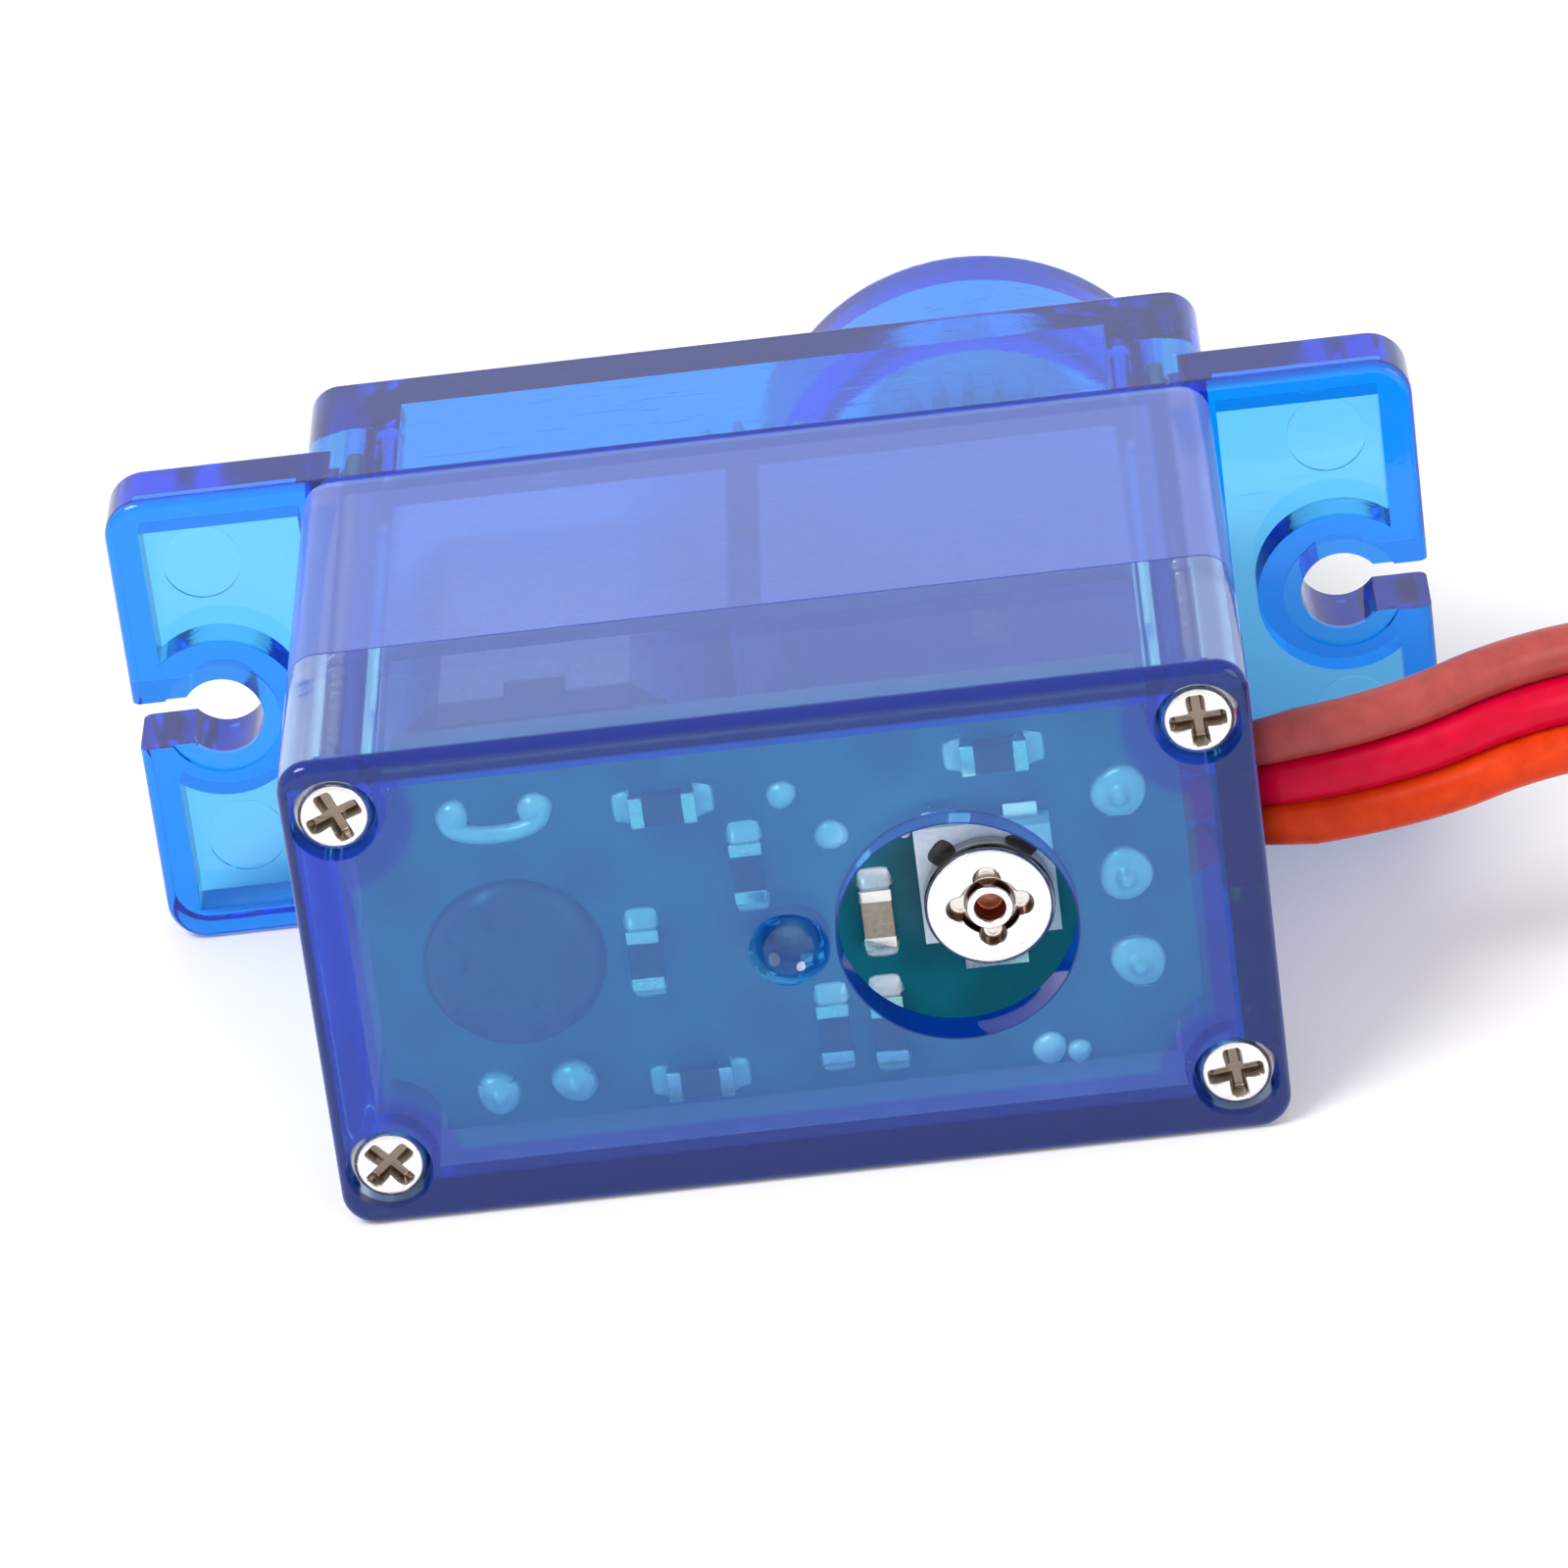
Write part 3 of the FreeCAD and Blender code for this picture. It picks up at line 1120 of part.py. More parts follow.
def make_lead():
    """The free lead: its three wires up to the turns, the turns, the tie and the plug."""
    points = [lead_spot(*point) for point in LEAD_ROUTE]
    path, radii = rounded_route(points)
    print("lead radii", [round(radius, 1) for radius in radii], "length", round(path.Length, 1))
    outer = size("coil_radius") + size("coil_band") / 2
    turns = Part.makeCylinder(outer, size("case_width"), coil_spot(0))
    wires = []
    for place in WIRES.values():
        shifted = path.copy()
        shifted.translate(Vector(0, 0, -place * size("wire_pitch")))
        wires.append(swept_wire(shifted, size("wire_diameter")).cut(turns))
    lead = doc.addObject("Part::Feature", "lead")
    lead.Shape = Part.makeCompound(wires)
    lead.Label = "lead"

    height = "2 * wire_pitch + wire_diameter"
    ring = cut("lead_turns", coil_drum("coil_outer", "coil_radius + coil_band / 2", height,
                                       "coil_lift"),
               coil_drum("coil_inner", "coil_radius - coil_band / 2", height, "coil_lift"))
    tail_end = tail_placement()
    tail = cut("lead_tail", tail_sector("tail_outer", "tail_radius + wire_diameter / 2"),
               tail_sector("tail_inner", "tail_radius - wire_diameter / 2"))
    coil = join("lead_coil", ring, tail)
    coil.Label = "lead_coil"
    make_tie()
    make_plug(tail_end)


def tail_centre():
    """Centre of the smaller arc that leaves the turns on their inside."""
    reach = size("coil_radius") - size("coil_band") / 4 - size("tail_radius")
    angle = math.radians(LEAD_END_ANGLE)
    return coil_spot(0) + Vector(math.cos(angle), math.sin(angle), 0) * reach


def tail_sector(name, radius):
    item = bind(doc.addObject("Part::Cylinder", name), Radius=radius,
                Height="2 * wire_pitch + wire_diameter", Angle="tail_angle")
    start = LEAD_END_ANGLE - size("tail_angle")
    centre = tail_centre()
    item.Placement = Placement(Vector(centre.x, centre.y, size("coil_lift")),
                               Rotation(Vector(0, 0, 1), start))
    return item


def tail_placement():
    """Where the tail ends, with X along the lead's heading there."""
    angle = LEAD_END_ANGLE - size("tail_angle")
    turned = math.radians(angle)
    end = tail_centre() + Vector(math.cos(turned), math.sin(turned), 0) * size("tail_radius")
    return Placement(end, Rotation(Vector(0, 0, 1), angle - 90))


def make_tie():
    """A band round the turns, where their two ends lie side by side."""
    lift = size("coil_lift")
    height = 2 * size("wire_pitch") + size("wire_diameter") + 2 * lift
    breadth = size("coil_band") + 2 * lift
    band = Part.makeBox(breadth, size("tie_width"), height,
                        coil_spot(0) + Vector(size("coil_radius") - breadth / 2,
                                              -size("tie_width") / 2, 0))
    band.rotate(coil_spot(0), Vector(0, 0, 1), LEAD_TIE_ANGLE)
    outer = Part.makeCylinder(size("coil_radius") + size("coil_band") / 2, height - 2 * lift,
                              coil_spot(lift))
    inner = Part.makeCylinder(size("coil_radius") - size("coil_band") / 2, height - 2 * lift,
                              coil_spot(lift))
    item = doc.addObject("Part::Feature", "lead_tie")
    item.Shape = band.cut(outer.cut(inner))
    item.Label = "lead_tie"


def make_plug(placement):
    """A three-way socket housing with its contacts, lying flat at the lead's end."""
    body = bind(doc.addObject("Part::Box", "plug_block"), Length="plug_length", Width="plug_width",
                Height="plug_height", Placement__Base__y="-plug_width / 2")
    cuts = []
    contacts = []
    for number in range(3):
        y = f"{number - 1} * plug_pitch - socket_side / 2"
        middle = "(plug_height - socket_side) / 2"
        mouth = bind(doc.addObject("Part::Box", f"socket_{number}"), Length="socket_depth",
                     Width="socket_side", Height="socket_side")
        cuts.append(move(mouth, "plug_length - socket_depth", y, middle))
        latch = bind(doc.addObject("Part::Box", f"latch_{number}"), Length="latch_length",
                     Width="latch_width", Height="latch_depth")
        cuts.append(move(latch, "plug_length / 2 - latch_length",
                         f"{number - 1} * plug_pitch - latch_width / 2",
                         "plug_height - latch_depth"))
        shell = bind(doc.addObject("Part::Box", f"contact_{number}_shell"),
                     Length="socket_depth - plug_height / 2", Width="socket_side",
                     Height="socket_side")
        move(shell, "plug_length - socket_depth", y, middle)
        hollow = bind(doc.addObject("Part::Box", f"contact_{number}_hollow"),
                      Length="socket_depth", Width="socket_side - 2 * contact_wall",
                      Height="socket_side - 2 * contact_wall")
        move(hollow, "plug_length - socket_depth + contact_wall", f"{y} + contact_wall",
             f"{middle} + contact_wall")
        contacts.append(cut(f"contact_{number}", shell, hollow))
    for item, label in ((cut("lead_plug", body, *cuts), "lead_plug"),
                        (group("plug_contacts", *contacts), "plug_contacts")):
        item.Label = label
        item.Placement = placement


# ---------------------------------------------------------------- build and export

PIECES = [
    "bottom_cover", "middle_case", "top_case", "case_screws", "circuit_board", "chip_resistors",
    "chip_capacitors", "controller_blob", "solder_joints", "trimmer_base", "trimmer_terminals",
    "trimmer_disc", "motor_can", "motor_bushes", "motor_end_cap", "motor_terminals",
    "motor_brushes", "motor_magnets", "motor_shaft", "rotor_core", "rotor_windings", "commutator",
    "motor_pinion", "first_gear", "second_gear", "third_gear", "output_gear", "idler_pin",
    "output_pin", "wire_ground", "wire_power", "wire_signal", "lead", "lead_coil", "lead_tie",
    "lead_plug", "plug_contacts",
]

make_bottom_cover()
make_middle_case()
make_top_case()
make_case_screws()
make_circuit_board()
make_board_parts()
make_trimmer()
make_motor_can()
make_motor_cap()
make_magnets()
make_motor_rotor()
make_gears()
make_output_gear()
make_pins()
make_inner_wires()
make_lead()
doc.recompute()

for item in doc.Objects:
    if "Invalid" in item.State or "Error" in item.State:
        raise RuntimeError(f"{item.Label} failed: {item.State}")
pieces = {item.Label: item for item in doc.Objects if item.Label in PIECES}
for label in PIECES:
    shape = pieces[label].Shape
    if shape.isNull() or not shape.isValid() or not shape.Solids:
        raise RuntimeError(f"{label} has no valid solid")

os.makedirs("parts", exist_ok=True)
for label in PIECES:
    pieces[label].Shape.exportStep(f"parts/{label}.step")
    print(label, len(pieces[label].Shape.Solids), round(pieces[label].Shape.Volume, 3))
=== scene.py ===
import json
import math

import bmesh
import bpy
import numpy as np
from mathutils import Matrix


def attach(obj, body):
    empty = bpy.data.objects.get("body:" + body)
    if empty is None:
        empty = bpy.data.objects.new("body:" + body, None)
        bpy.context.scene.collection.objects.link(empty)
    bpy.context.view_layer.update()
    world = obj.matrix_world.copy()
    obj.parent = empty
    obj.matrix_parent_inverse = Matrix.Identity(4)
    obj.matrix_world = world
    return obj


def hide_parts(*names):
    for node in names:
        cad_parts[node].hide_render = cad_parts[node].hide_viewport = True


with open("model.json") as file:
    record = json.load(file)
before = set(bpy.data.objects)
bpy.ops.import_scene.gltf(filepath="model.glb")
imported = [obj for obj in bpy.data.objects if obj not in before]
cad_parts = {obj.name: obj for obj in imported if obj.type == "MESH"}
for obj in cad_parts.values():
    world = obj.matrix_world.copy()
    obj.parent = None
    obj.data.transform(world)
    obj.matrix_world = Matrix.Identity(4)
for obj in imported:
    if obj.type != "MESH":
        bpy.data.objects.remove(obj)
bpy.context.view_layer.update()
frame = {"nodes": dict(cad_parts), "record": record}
NODES = frame["nodes"]

MM = 0.001


def put_in_scene(name, data):
    """A new object with the data given, linked to the scene."""
    thing = bpy.data.objects.new(name, data)
    bpy.context.scene.collection.objects.link(thing)
    return thing


def set_axes(thing, right, up, back, place):
    """Sets where an object's own X, Y and Z axes point, and its place."""
    columns = (right, up, back, place)
    thing.matrix_world = Matrix([[column[row] for column in columns] for row in range(3)]
                                + [[0, 0, 0, 1]])


# ---------------------------------------------------------------- camera

# Fitted to the photograph's edges: a place in metres, and three unit vectors.
CAMERA_PLACE = (0.008630, -0.188527, 0.097501)
CAMERA_RIGHT = (0.992942, -0.012025, -0.117991)
CAMERA_UP = (0.110778, 0.449371, 0.886450)
CAMERA_AHEAD = (-0.042362, 0.893265, -0.447531)
CAMERA_LENS = 191.35
SENSOR_WIDTH = 36.0


def make_camera():
    """Sets up the photograph's view: a long lens, a little above the bottom cover, slightly rolled."""
    data = bpy.data.cameras.new("camera")
    data.lens = CAMERA_LENS
    data.sensor_width = SENSOR_WIDTH
    data.clip_start = 0.01
    data.clip_end = 10.0
    camera = put_in_scene("camera", data)
    set_axes(camera, CAMERA_RIGHT, CAMERA_UP, [-part for part in CAMERA_AHEAD], CAMERA_PLACE)
    bpy.context.scene.camera = camera


make_camera()

# ---------------------------------------------------------------- meshes from arrays

# In metres: points nearer to each other than this become one.
MERGE_DISTANCE = 1e-7


def grid_faces(rows, columns, first=0):
    """Quads between the rows of a grid of points, each row a closed ring; first is added to all."""
    row = np.arange(rows - 1)[:, None]
    column = np.arange(columns)[None, :]
    beside = (column + 1) % columns
    corners = (row * columns + column, (row + 1) * columns + column,
               (row + 1) * columns + beside, row * columns + beside)
    return np.stack([corner.ravel() for corner in corners], axis=1) + first


def clean_mesh(mesh):
    """Merges the doubled points at poles and turns all faces outwards."""
    work = bmesh.new()
    work.from_mesh(mesh)
    bmesh.ops.remove_doubles(work, verts=work.verts, dist=MERGE_DISTANCE)
    bmesh.ops.recalc_face_normals(work, faces=work.faces)
    work.to_mesh(mesh)
    work.free()


class Surface:
    """Collects grids of points, in metres, and turns them into one mesh object."""

    def __init__(self):
        self.points = []
        self.faces = []
        self.finishes = []
        self.count = 0

    def add(self, grid, finish=0):
        """Adds a grid whose rows are closed rings; finish is its material's place in the list."""
        rows, columns = grid.shape[:2]
        faces = grid_faces(rows, columns, self.count)
        self.points.append(grid.reshape(-1, 3))
        self.faces.append(faces)
        self.finishes.append(np.full(len(faces), finish))
        self.count += rows * columns

    def build(self, name, materials, body="case", replaces=()):
        """Makes the piece, on its body and in the place of the CAD nodes that it replaces."""
        faces = np.concatenate(self.faces)
        mesh = bpy.data.meshes.new(name)
        mesh.from_pydata(np.concatenate(self.points).tolist(), [], faces.tolist())
        for material in materials:
            mesh.materials.append(material)
        mesh.polygons.foreach_set("material_index", np.concatenate(self.finishes))
        mesh.polygons.foreach_set("use_smooth", np.ones(len(faces), bool))
        clean_mesh(mesh)
        piece = put_in_scene(name, mesh)
        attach(piece, body)
        if replaces:
            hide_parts(*replaces)
        return piece


def round_angles(count):
    """Angles in even steps once round, as a row."""
    return np.linspace(0, 2 * np.pi, count, endpoint=False)[None, :]


def signed_power(values, power):
    """The values raised to a power, with their signs kept."""
    return np.sign(values) * np.abs(values) ** power


def smooth_step(value, low, high):
    """Nothing up to low and one from high on, with a soft start and end between them."""
    share = np.clip((value - low) / (high - low), 0, 1)
    return share * share * (3 - 2 * share)


def rounded_block(centre, half_sizes, roundness, rows=17, columns=32):
    """A block with rounded edges: a ball whose sines and cosines are raised to a small power.

    Each coordinate is its half size times the sine or cosine of the two angles, with the sign
    kept and the size raised to the power given; 1 is an ellipsoid and 0 is a sharp block.
    """
    up = np.linspace(-np.pi / 2, np.pi / 2, rows)[:, None]
    around = round_angles(columns)
    x = signed_power(np.cos(up), roundness) * signed_power(np.cos(around), roundness)
    y = signed_power(np.cos(up), roundness) * signed_power(np.sin(around), roundness)
    z = signed_power(np.sin(up), roundness) * np.ones_like(around)
    return np.stack([x, y, z], axis=-1) * np.array(half_sizes) + np.array(centre)


def frames_along(line):
    """Direction, sideways and upward unit vectors at each point of a line."""
    ahead = np.gradient(line, axis=0)
    ahead /= np.linalg.norm(ahead, axis=1)[:, None]
    side = np.cross([0.0, 0.0, 1.0], ahead)
    side /= np.linalg.norm(side, axis=1)[:, None]
    return ahead, side, np.cross(ahead, side)


def closed_tube(line, across, up, radius, sides):
    """A round tube that is drawn in to a point at both ends.

    Round each point of the line it is a circle in the plane of the two vectors given there.
    """
    around = round_angles(sides)[..., None]
    ring = np.cos(around) * across[:, None, :] + np.sin(around) * up[:, None, :]
    body = line[:, None, :] + np.reshape(radius, (-1, 1, 1)) * ring
    start = np.broadcast_to(line[0], (1, sides, 3))
    end = np.broadcast_to(line[-1], (1, sides, 3))
    return np.concatenate([start, body, end])


# ---------------------------------------------------------------- the board's parts

# All lengths are in millimetres; places are X and Z, seen from the board's front.
BOARD_FACE = -12.6


def on_board(grid, x, z, along_case):
    """Turns (along, across, height over the board) in millimetres into metres in the frame.

    The board's parts side faces -Y, so height is taken off its Y. along runs up, or along the
    case where along_case is set.
    """
    along, across, height = np.moveaxis(grid, -1, 0)
    right, rise = (along, across) if along_case else (across, along)
    return np.stack([x + right, BOARD_FACE - height, z + rise], axis=-1) * MM


def solder_fillet(start, reach, width, height, rows=9, steps=7):
    """A hollow-cheeked wedge of solder from a part's end down to the board.

    Its profile falls from the height given at start to nothing at start + reach as the square of
    what is left of the way; carried across the part's width, it shrinks towards both sides as
    the fourth root of one minus the fourth power of the way out.
    """
    way = np.linspace(0, 1, steps)
    along = np.concatenate([way, way[::-1][1:-1]])
    rise = np.concatenate([(1 - way) ** 2, np.zeros(steps - 2)])
    out = np.linspace(-1, 1, rows)
    fullness = np.clip(1 - out ** 4, 0, 1) ** 0.25
    grid = np.zeros((rows, len(along), 3))
    grid[..., 0] = start + reach * along[None, :] * fullness[:, None]
    grid[..., 1] = (out * width / 2)[:, None]
    grid[..., 2] = height * rise[None, :] * fullness[:, None]
    return grid


# Where the chips' middles are, and whether they lie along the case.
CHIPS = [(-2.6, 9.4, True), (-3.5, 5.5, False), (-0.8, 7.5, False), (-2.6, 2.0, True),
         (5.3, 9.8, True), (0.75, 2.95, False), (2.05, 2.8, False)]
CAPACITORS = [(2.1, 5.7, False)]
CHIP_SIZE = (1.6, 0.8, 0.45)
# How far the core stands back, along, across and upwards, and half a metal end's length.
CORE_SETBACK = (0.2, 0.03, 0.02)
CORE_ROUNDNESS = 0.12
END_HALF = 0.17
END_ROUNDNESS = 0.16
# How far the fillets reach under and out, and their shares of the chip's width and height.
FILLET_OVERLAP = 0.05
FILLET_REACH = 0.46
FILLET_WIDTH = 1.15
FILLET_HEIGHT = 0.8


def make_chips(name, spots, node, slot):
    """Chip parts: a core between two metal ends, each end in a fillet of solder."""
    length, width, height = CHIP_SIZE
    core_halves = [size / 2 - back for size, back in zip(CHIP_SIZE, CORE_SETBACK)]
    surface = Surface()
    for x, z, along_case in spots:
        core = rounded_block((0, 0, height / 2), core_halves, CORE_ROUNDNESS)
        surface.add(on_board(core, x, z, along_case), 0)
        for side in (-1, 1):
            end = rounded_block((side * (length / 2 - END_HALF), 0, height / 2),
                                (END_HALF, width / 2, height / 2), END_ROUNDNESS)
            surface.add(on_board(end, x, z, along_case), 1)
            fillet = solder_fillet(length / 2 - FILLET_OVERLAP, FILLET_REACH,
                                   width * FILLET_WIDTH, height * FILLET_HEIGHT)
            fillet[..., 0] *= side
            surface.add(on_board(fillet, x, z, along_case), 2)
    surface.build(name, [FINISHES[slot], FINISHES["tinned_metal"], FINISHES["solder"]],
                  replaces=(node,))


def solder_bead(radius, height, wobble, pip, rows=14, columns=40):
    """A frozen drop of solder with a small pip where the wire's end stands in it.

    Its height is the root of one minus the squared share of the radius, and its rim wanders with
    the second and third wave round it; the pip is a narrow bell with a flat top at the middle.
    """
    share = np.linspace(0, 1, rows)[:, None]
    around = round_angles(columns)
    rim = radius * (1 + 0.05 * np.sin(2 * around + wobble) + 0.03 * np.sin(3 * around + 2 * wobble))
    rise = height * np.sqrt(np.clip(1 - share ** 2, 0, 1)) + pip * np.exp(-(share / 0.32) ** 4)
    rise = rise * np.ones_like(around)
    top = np.stack([share * rim * np.cos(around), share * rim * np.sin(around), rise], axis=-1)
    return np.concatenate([top, np.zeros((1, columns, 3))])


LEAD_JOINTS = [(8.12, 8.4), (8.08, 6.2), (8.15, 3.85)]
MOTOR_JOINTS = [(-7.45, 2.2), (-5.6, 2.3)]
# Smaller drops of solder: X, Z, radius and height.
BLOTS = [(5.8, 1.75, 0.42, 0.26), (6.5, 1.6, 0.3, 0.26), (0.2, 9.3, 0.36, 0.26),
         (1.25, 8.1, 0.4, 0.26), (2.95, 7.9, 0.22, 0.45)]
# The bridge follows part of an ellipse that lies just over the board, angles in degrees.
BRIDGE_SPOT = (-6.6, 9.55)
BRIDGE_ARC = (172, 372)
BRIDGE_POINTS = 26
BRIDGE_HALF_SIZES = (1.12, 0.42)
BRIDGE_LIFT = 0.12
BRIDGE_RADIUS = 0.22
PAD_OUT = 0.98
PAD_UP = 0.12


def add_bridge(surface):
    """A bent bridge of solder, with a pad under each of its ends."""
    start, end = (math.radians(angle) for angle in BRIDGE_ARC)
    turn = np.linspace(start, end, BRIDGE_POINTS)
    wide, high = BRIDGE_HALF_SIZES
    middle = np.stack([wide * np.cos(turn), high * np.sin(turn),
                       np.full(BRIDGE_POINTS, BRIDGE_LIFT)], axis=1)
    _, across, up = frames_along(middle)
    bridge = closed_tube(middle, across, up, BRIDGE_RADIUS, sides=12)
    surface.add(on_board(bridge, *BRIDGE_SPOT, True))
    for side in (-1, 1):
        pad = solder_bead(radius=0.42, height=0.34, wobble=side, pip=0.0)
        pad[..., 0] += side * PAD_OUT
        pad[..., 1] += PAD_UP
        surface.add(on_board(pad, *BRIDGE_SPOT, True))


def make_solder():
    """The lead's and the motor's joints, a bridge of solder near a corner, and a few blots."""
    surface = Surface()
    for number, (x, z) in enumerate(LEAD_JOINTS):
        bead = solder_bead(radius=0.68, height=0.30, wobble=1.3 * number, pip=0.25)
        surface.add(on_board(bead, x, z, False))
    for number, (x, z) in enumerate(MOTOR_JOINTS):
        bead = solder_bead(radius=0.56, height=0.42, wobble=2.1 + number, pip=0.1)
        surface.add(on_board(bead, x, z, False))
    add_bridge(surface)
    for x, z, radius, height in BLOTS:
        surface.add(on_board(solder_bead(radius, height, wobble=x, pip=0.0), x, z, True))
    surface.build("solder_work", [FINISHES["solder"]], replaces=("solder_joints",))


# ---------------------------------------------------------------- screws

# Each screw's X and Z, and how far its cross is turned, in radians.
SCREWS = [(-10.15, 1.5, 0.72), (10.15, 1.5, 0.1), (10.15, 10.9, 0.06), (-10.15, 10.9, 0.38)]
SCREW_FOOT = -14.2
HEAD_RADIUS = 0.97
HEAD_HEIGHT = 0.66
CROSS_DEPTH = 0.42
# Between which distances the cross's side walls, its end walls and the dish rise, in that order.
CROSS_SIDE = (0.10, 0.24)
CROSS_END = (0.52, 0.70)
DISH_EDGE = (0.1, 0.62)
DISH_DEPTH = 0.1
SHANK_START = -0.02
SHANK_RADIUS = 0.68
SHANK_LENGTH = 18.2
THREAD_PITCH = 0.62
THREAD_DEPTH = 0.17
THREAD_START = (0.5, 1.5)
POINT_LENGTH = 0.8


def screw_head(turn, rows=52, columns=120):
    """A pan head with a cross recess.

    Its height is the head's times the root of one minus the ninth power of the share of the
    radius. The cross takes 0.42 mm off within 0.17 mm of either arm's middle line, with
    slanting walls, and its arms end 0.61 mm out; a shallow dish lies at the middle.
    """
    share = np.linspace(0, 1, rows)[:, None] ** 0.8
    around = round_angles(columns)
    x = HEAD_RADIUS * share * np.cos(around)
    z = HEAD_RADIUS * share * np.sin(around)
    along = x * math.cos(turn) + z * math.sin(turn)
    across = z * math.cos(turn) - x * math.sin(turn)
    arms = [1 - smooth_step(np.abs(narrow), *CROSS_SIDE) for narrow in (across, along)]
    reach = [1 - smooth_step(np.abs(far), *CROSS_END) for far in (along, across)]
    recess = np.maximum(arms[0] * reach[0], arms[1] * reach[1])
    dish = DISH_DEPTH * (1 - smooth_step(np.hypot(x, z), *DISH_EDGE))
    dome = HEAD_HEIGHT * np.sqrt(np.clip(1 - share ** 9, 0, 1))
    height = dome - np.maximum(CROSS_DEPTH * recess, dish)
    top = np.stack([x, -height, z], axis=-1)
    skirt = np.stack([x[-1:], 0 * x[-1:], z[-1:]], axis=-1)
    return np.concatenate([top, skirt, skirt * [0.6, 1, 0.6]])


def screw_shank(rows=230, columns=20):
    """A threaded shank: a cylinder whose radius follows one wave per pitch along a helix."""
    way = np.linspace(0, SHANK_LENGTH, rows)[:, None]
    around = round_angles(columns)
    wave = 0.5 + 0.5 * np.cos(2 * np.pi * (way / THREAD_PITCH) - around)
    threaded = smooth_step(way, *THREAD_START)
    point = np.clip((SHANK_LENGTH - way) / POINT_LENGTH, 0, 1) ** 0.6
    radius = (SHANK_RADIUS - THREAD_DEPTH * threaded * (1 - wave) ** 1.3) * point
    return np.stack([radius * np.cos(around), way * np.ones_like(around),
                     radius * np.sin(around)], axis=-1)


def make_screws():
    """The four screws of the case, each a head on its shank."""
    surface = Surface()
    for x, z, turn in SCREWS:
        seat = np.array([x, SCREW_FOOT, z])
        surface.add((screw_head(turn) + seat) * MM)
        surface.add((screw_shank() + seat + [0, SHANK_START, 0]) * MM)
    surface.build("screws_with_threads", [FINISHES["screw_steel"]],
                  replaces=("case_screws",))


# ---------------------------------------------------------------- the trimmer

TRIMMER_SPOT = (4.8, 6.2)
DISC_FACE = -13.95
DISC_RADIUS = 1.55
DISC_RECESS = 0.34
EYELET_RISE = 0.40
EYELET_HOLE = 0.2
# Between which distances the walls rise: round the middle, beside the arms' middle lines, in the
# eyelet and round it.
MIDDLE_WALL = (0.64, 0.76)
ARM_WALL = (0.22, 0.34)
EYELET_INNER = (0.33, 0.38)
EYELET_OUTER = (0.55, 0.60)
ARM_REACH = 0.72
RIM_FALL = 0.09
HUB_RADIUS = 0.85
# How far behind the disc's face its plate ends, its hub starts and ends, and the end's middle is.
BACK_DEPTHS = (0.64, 0.66, 1.08, 1.08)
BASE_FACE = -13.25
# Both ends of the resistor film: X, Z, half sizes and a turn in radians.
FILM_ENDS = [(3.78, 7.42, 0.34, 0.25, 0.9), (5.68, 7.42, 0.42, 0.22, -0.3)]
FILM_HALF_THICKNESS = 0.05
FILM_ROUNDNESS = 0.7


def trimmer_face(rows=70, columns=144):
    """The trimmer's disc, seen from its face: a raised eyelet in a cross-shaped recess.

    The recess is 0.34 mm deep, with round-ended arms 0.56 mm wide that reach 1.0 mm from the
    middle, and is joined round the eyelet; the rim falls off as a quarter ellipse. Behind the
    rim follow the plate's back and the hub.
    """
    share = np.linspace(0, 1, rows)[:, None]
    around = round_angles(columns)
    radius = DISC_RADIUS * share
    x = radius * np.cos(around)
    z = radius * np.sin(around)
    recess = 1 - smooth_step(radius * np.ones_like(around), *MIDDLE_WALL)
    for way_x, way_z in ((1, 0), (0, 1)):
        along = np.abs(x * way_x + z * way_z)
        across = x * way_z - z * way_x
        from_arm = np.hypot(np.maximum(along - ARM_REACH, 0), across)
        recess = np.maximum(recess, 1 - smooth_step(from_arm, *ARM_WALL))
    ring = smooth_step(radius, *EYELET_INNER) * (1 - smooth_step(radius, *EYELET_OUTER))
    hole = 1 - smooth_step(radius, *EYELET_INNER)
    depth = DISC_RECESS * recess - EYELET_RISE * ring + EYELET_HOLE * hole
    edge = RIM_FALL * (1 - np.sqrt(np.clip(1 - smooth_step(share, 0.9, 1.0) ** 2, 0, 1)))
    face = np.stack([x, depth + edge, z], axis=-1)
    rim = face[-1:] * [1, 0, 1]
    hub = rim * (HUB_RADIUS / DISC_RADIUS)
    back = [row + [0, far, 0] for row, far in zip((rim, hub, hub, hub * 0), BACK_DEPTHS)]
    return np.concatenate([face] + back)


def make_trimmer_disc():
    """The disc, which turns with the trimmer's body."""
    surface = Surface()
    place = np.array([TRIMMER_SPOT[0], DISC_FACE, TRIMMER_SPOT[1]])
    surface.add((trimmer_face() + place) * MM)
    surface.build("trimmer_screw", [trimmer_disc_finish()], body="trimmer",
                  replaces=("trimmer_disc",))


def make_resistor_film():
    """The dark ends of the resistor film, which show at the base's two upper corners."""
    surface = Surface()
    for x, z, half_x, half_z, turn in FILM_ENDS:
        block = rounded_block((0, 0, 0), (half_x, FILM_HALF_THICKNESS, half_z), FILM_ROUNDNESS)
        cosine, sine = math.cos(turn), math.sin(turn)
        turned = block @ np.array([[cosine, 0, sine], [0, 1, 0], [-sine, 0, cosine]])
        surface.add((turned + [x, BASE_FACE, z]) * MM)
    surface.build("resistor_film", [FINISHES["chip_black"]])


# ---------------------------------------------------------------- the lead

